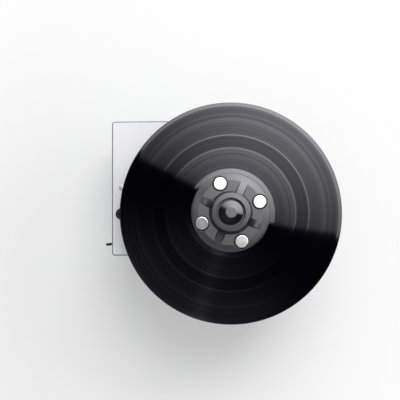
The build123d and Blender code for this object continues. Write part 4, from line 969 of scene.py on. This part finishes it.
# %% Short ways to wire the world
def sky_node(kind, *values, **settings):
    """Adds a node; values go to its inputs in order, as constants or links."""
    made = sky.nodes.new(kind)
    for setting, value in settings.items():
        setattr(made, setting, value)
    for socket, value in zip(made.inputs, values):
        if isinstance(value, bpy.types.NodeSocket):
            sky.links.new(value, socket)
        elif value is not None:
            socket.default_value = value
    return made


def sky_range(value, start, end, low, high, ease="SMOOTHSTEP"):
    """The value's range start..end spread over low..high, and held level beyond it."""
    return sky_node("ShaderNodeMapRange", value, start, end, low, high, interpolation_type=ease).outputs[0]


def sky_mix(share, a, b):
    """The number a where the share is 0 and b where it is 1."""
    return sky_node("ShaderNodeMix", share, None, a, b, data_type="FLOAT").outputs[0]


def sky_math(operation, *numbers):
    """Numbers put through one of the Math node's operations."""
    return sky_node("ShaderNodeMath", *numbers, operation=operation).outputs[0]


def sky_dot(ray, towards):
    """Dot product of a ray with a fixed direction."""
    return sky_node("ShaderNodeVectorMath", ray, towards, operation="DOT_PRODUCT").outputs["Value"]


world = bpy.data.worlds.new("studio")
world.use_nodes = True
bpy.context.scene.world = world
sky = world.node_tree
background = sky.nodes["Background"]
direction = sky_node("ShaderNodeTexCoord").outputs["Generated"]
height = sky_node("ShaderNodeSeparateXYZ", direction).outputs[2]
level = sky_node("ShaderNodeVectorMath", direction, (1, 1, 0), operation="MULTIPLY").outputs[0]
heading = sky_node("ShaderNodeVectorMath", level, operation="NORMALIZE").outputs[0]


def facing(degrees):
    """Cosine of the angle between the heading of a ray and a compass direction."""
    return sky_dot(heading, (cos(radians(degrees)), sin(radians(degrees)), 0))


def beside(degrees, point):
    """How far a ray lies to the left of the plane that holds an overhead point and runs down
    at a compass angle."""
    across = (-sin(radians(degrees)), cos(radians(degrees)))
    down = -(across[0] * point[0] + across[1] * point[1])
    return sky_dot(direction, (*across, down))


print("the world starts with", len(sky.nodes), "nodes")

# %% [markdown]
# ### The bright side
#
# Two edges run down from one point that is nearly overhead, and the bright side lies between
# them. It is brightest towards the lamp and on the ceiling. The edges are a little soft, since
# the frame of a window or a panel is never quite sharp.

# %% The bright side
OVERHEAD = (0.1060, 0.0070)  # where the two edges meet, as x and y over z
EDGE_RIGHT, EDGE_LEFT, BRIGHTEST = -7.9, 152.7, 58  # degrees
EDGE_SOFT = 0.0015
CEILING_LIGHT, WALL_LIGHT = 4.5, 2.7
bright_side = sky_math(
    "MULTIPLY",
    sky_range(beside(EDGE_RIGHT, OVERHEAD), -EDGE_SOFT, EDGE_SOFT, 0, 1),
    sky_range(beside(EDGE_LEFT, OVERHEAD), -EDGE_SOFT, EDGE_SOFT, 1, 0),
)
towards_lamp = sky_range(facing(BRIGHTEST), 0.0, 1.0, 0.0, 1.0, "LINEAR")
ceiling_fade = sky_range(sky_math("POWER", towards_lamp, 2.8), 0.0, 1.0, 0.15, 1.0, "LINEAR")
wall_light = sky_math("MULTIPLY", sky_math("POWER", towards_lamp, 0.65), WALL_LIGHT)
ceiling_light = sky_math("MULTIPLY", ceiling_fade, CEILING_LIGHT)
bright = sky_mix(sky_range(height, 0.2, 0.95, 0.0, 1.0), wall_light, ceiling_light)
print("with its bright side it has", len(sky.nodes))

# %% [markdown]
# ### The dark side
#
# No studio is quite black, and three faint things on the dark side keep the vinyl from looking
# like a hole. A glow lies opposite the lamp. It grows with height and is weaker again close to
# the point overhead. A streak runs through it, from a gap between two curtains. Its plane holds
# the direction that the label's middle mirrors, so it crosses the record as a straight, pale
# band. The far walls of the room stand in a belt of light at middle height. The flat record
# never mirrors a belt as low as that, but the sloping skirt of the clamp does.

# %% The dark side
DIM, STREAK = -118, -108  # degrees
SPINDLE = (0.0364, 0.0273)  # what the spindle mirrors, as x and y over z
STREAK_HALF = 0.022
DARK = 0.003
glow = sky_math(
    "MULTIPLY",
    sky_math(
        "MULTIPLY",
        sky_range(facing(DIM), 0.0, 1.0, 0.03, 1.0),
        sky_range(height, 0.3, 0.7, 0.01, 0.08),
    ),
    sky_range(height, 0.982, 0.9985, 5.0, 1.45),
)
off_streak = sky_math("ABSOLUTE", beside(STREAK, SPINDLE))
streak = sky_math(
    "MULTIPLY",
    sky_math(
        "MULTIPLY",
        sky_range(off_streak, 0.0, STREAK_HALF, 1.0, 0.0),
        sky_range(facing(STREAK), 0.0, 0.5, 0.0, 1.0),
    ),
    sky_range(height, 0.3, 0.7, 0.0, 0.2),
)
belt = sky_math(
    "MULTIPLY",
    sky_range(height, 0.60, 0.70, 0.0, 1.0),
    sky_range(height, 0.76, 0.86, 1.0, 0.0),
)
walls = sky_math("MULTIPLY", belt, sky_range(facing(DIM), -0.2, 0.9, 2.1, 0.0))
dark = sky_math("ADD", sky_math("ADD", sky_math("ADD", glow, walls), streak), DARK)
print("and with its dark side", len(sky.nodes))

# %% [markdown]
# ### What each ray sees
#
# Gloss sees the studio. The camera, and whatever looks through something clear, sees plain
# white. Every other ray takes the even fill, which lights the shadows.

# %% What each ray sees
FILL = 0.70
rays = sky_node("ShaderNodeLightPath").outputs
plain = sky_mix(rays["Is Glossy Ray"], FILL, sky_mix(bright_side, dark, bright))
clear = sky_math("MAXIMUM", rays["Is Camera Ray"], rays["Is Transmission Ray"])
sky.links.new(sky_mix(clear, plain, 1.0), background.inputs["Strength"])
background.inputs["Color"].default_value = (1, 1, 1, 1)
world.cycles.sampling_method = "NONE"
print("the world has", len(sky.nodes), "nodes in all")

# %% [markdown]
# ## Lamp
#
# One round lamp, as large as a window and some two metres away, casts the soft shadow. A sun
# would make it hard, and more lamps would make more shadows. It is hidden from gloss, because
# the bright side of the world already stands for what gloss would see of it.

# %% Lamp
LAMP_AZIMUTH, LAMP_ELEVATION, LAMP_DISTANCE = 72.0, 60.0, 2.2  # degrees, degrees, metres
LAMP_WIDTH, LAMP_WATTS = 1.4, 21.5
lamp_data = bpy.data.lights.new("window_lamp", "AREA")
lamp_data.shape = "DISK"
lamp_data.size = LAMP_WIDTH
lamp_data.energy = LAMP_WATTS
lamp = bpy.data.objects.new("window_lamp", lamp_data)
bpy.context.scene.collection.objects.link(lamp)
lamp.visible_glossy = False
lamp_out = LAMP_DISTANCE * cos(radians(LAMP_ELEVATION))
lamp.location = (
    lamp_out * cos(radians(LAMP_AZIMUTH)),
    lamp_out * sin(radians(LAMP_AZIMUTH)),
    LAMP_DISTANCE * sin(radians(LAMP_ELEVATION)),
)
lamp.rotation_euler = (0, radians(90 - LAMP_ELEVATION), radians(LAMP_AZIMUTH))
print("lamp at", [round(v, 2) for v in lamp.location], "m")

# %% [markdown]
# ## Camera
#
# The camera looks almost straight down from a little over a metre, and leans a few degrees
# towards the back. A longish lens keeps the record nearly round.

# %% Camera
LENS, SENSOR = 56.76, 36.0  # mm
CAMERA_PLACE = (-0.01465, -0.02321, 1.07140)  # metres
CAMERA_LEAN = (0.0475, 0.0125, -0.0071)  # radians about x, y and z
camera_data = bpy.data.cameras.new("camera")
camera_data.sensor_fit = "HORIZONTAL"
camera_data.sensor_width = SENSOR
camera_data.lens = LENS
camera_data.clip_start = 0.01
camera = bpy.data.objects.new("camera", camera_data)
bpy.context.scene.collection.objects.link(camera)
camera.location = CAMERA_PLACE
camera.rotation_euler = CAMERA_LEAN
bpy.context.scene.camera = camera
bpy.context.scene.view_settings.view_transform = "Standard"
print("camera", round(camera.location.z, 2), "m up, lens", LENS, "mm")
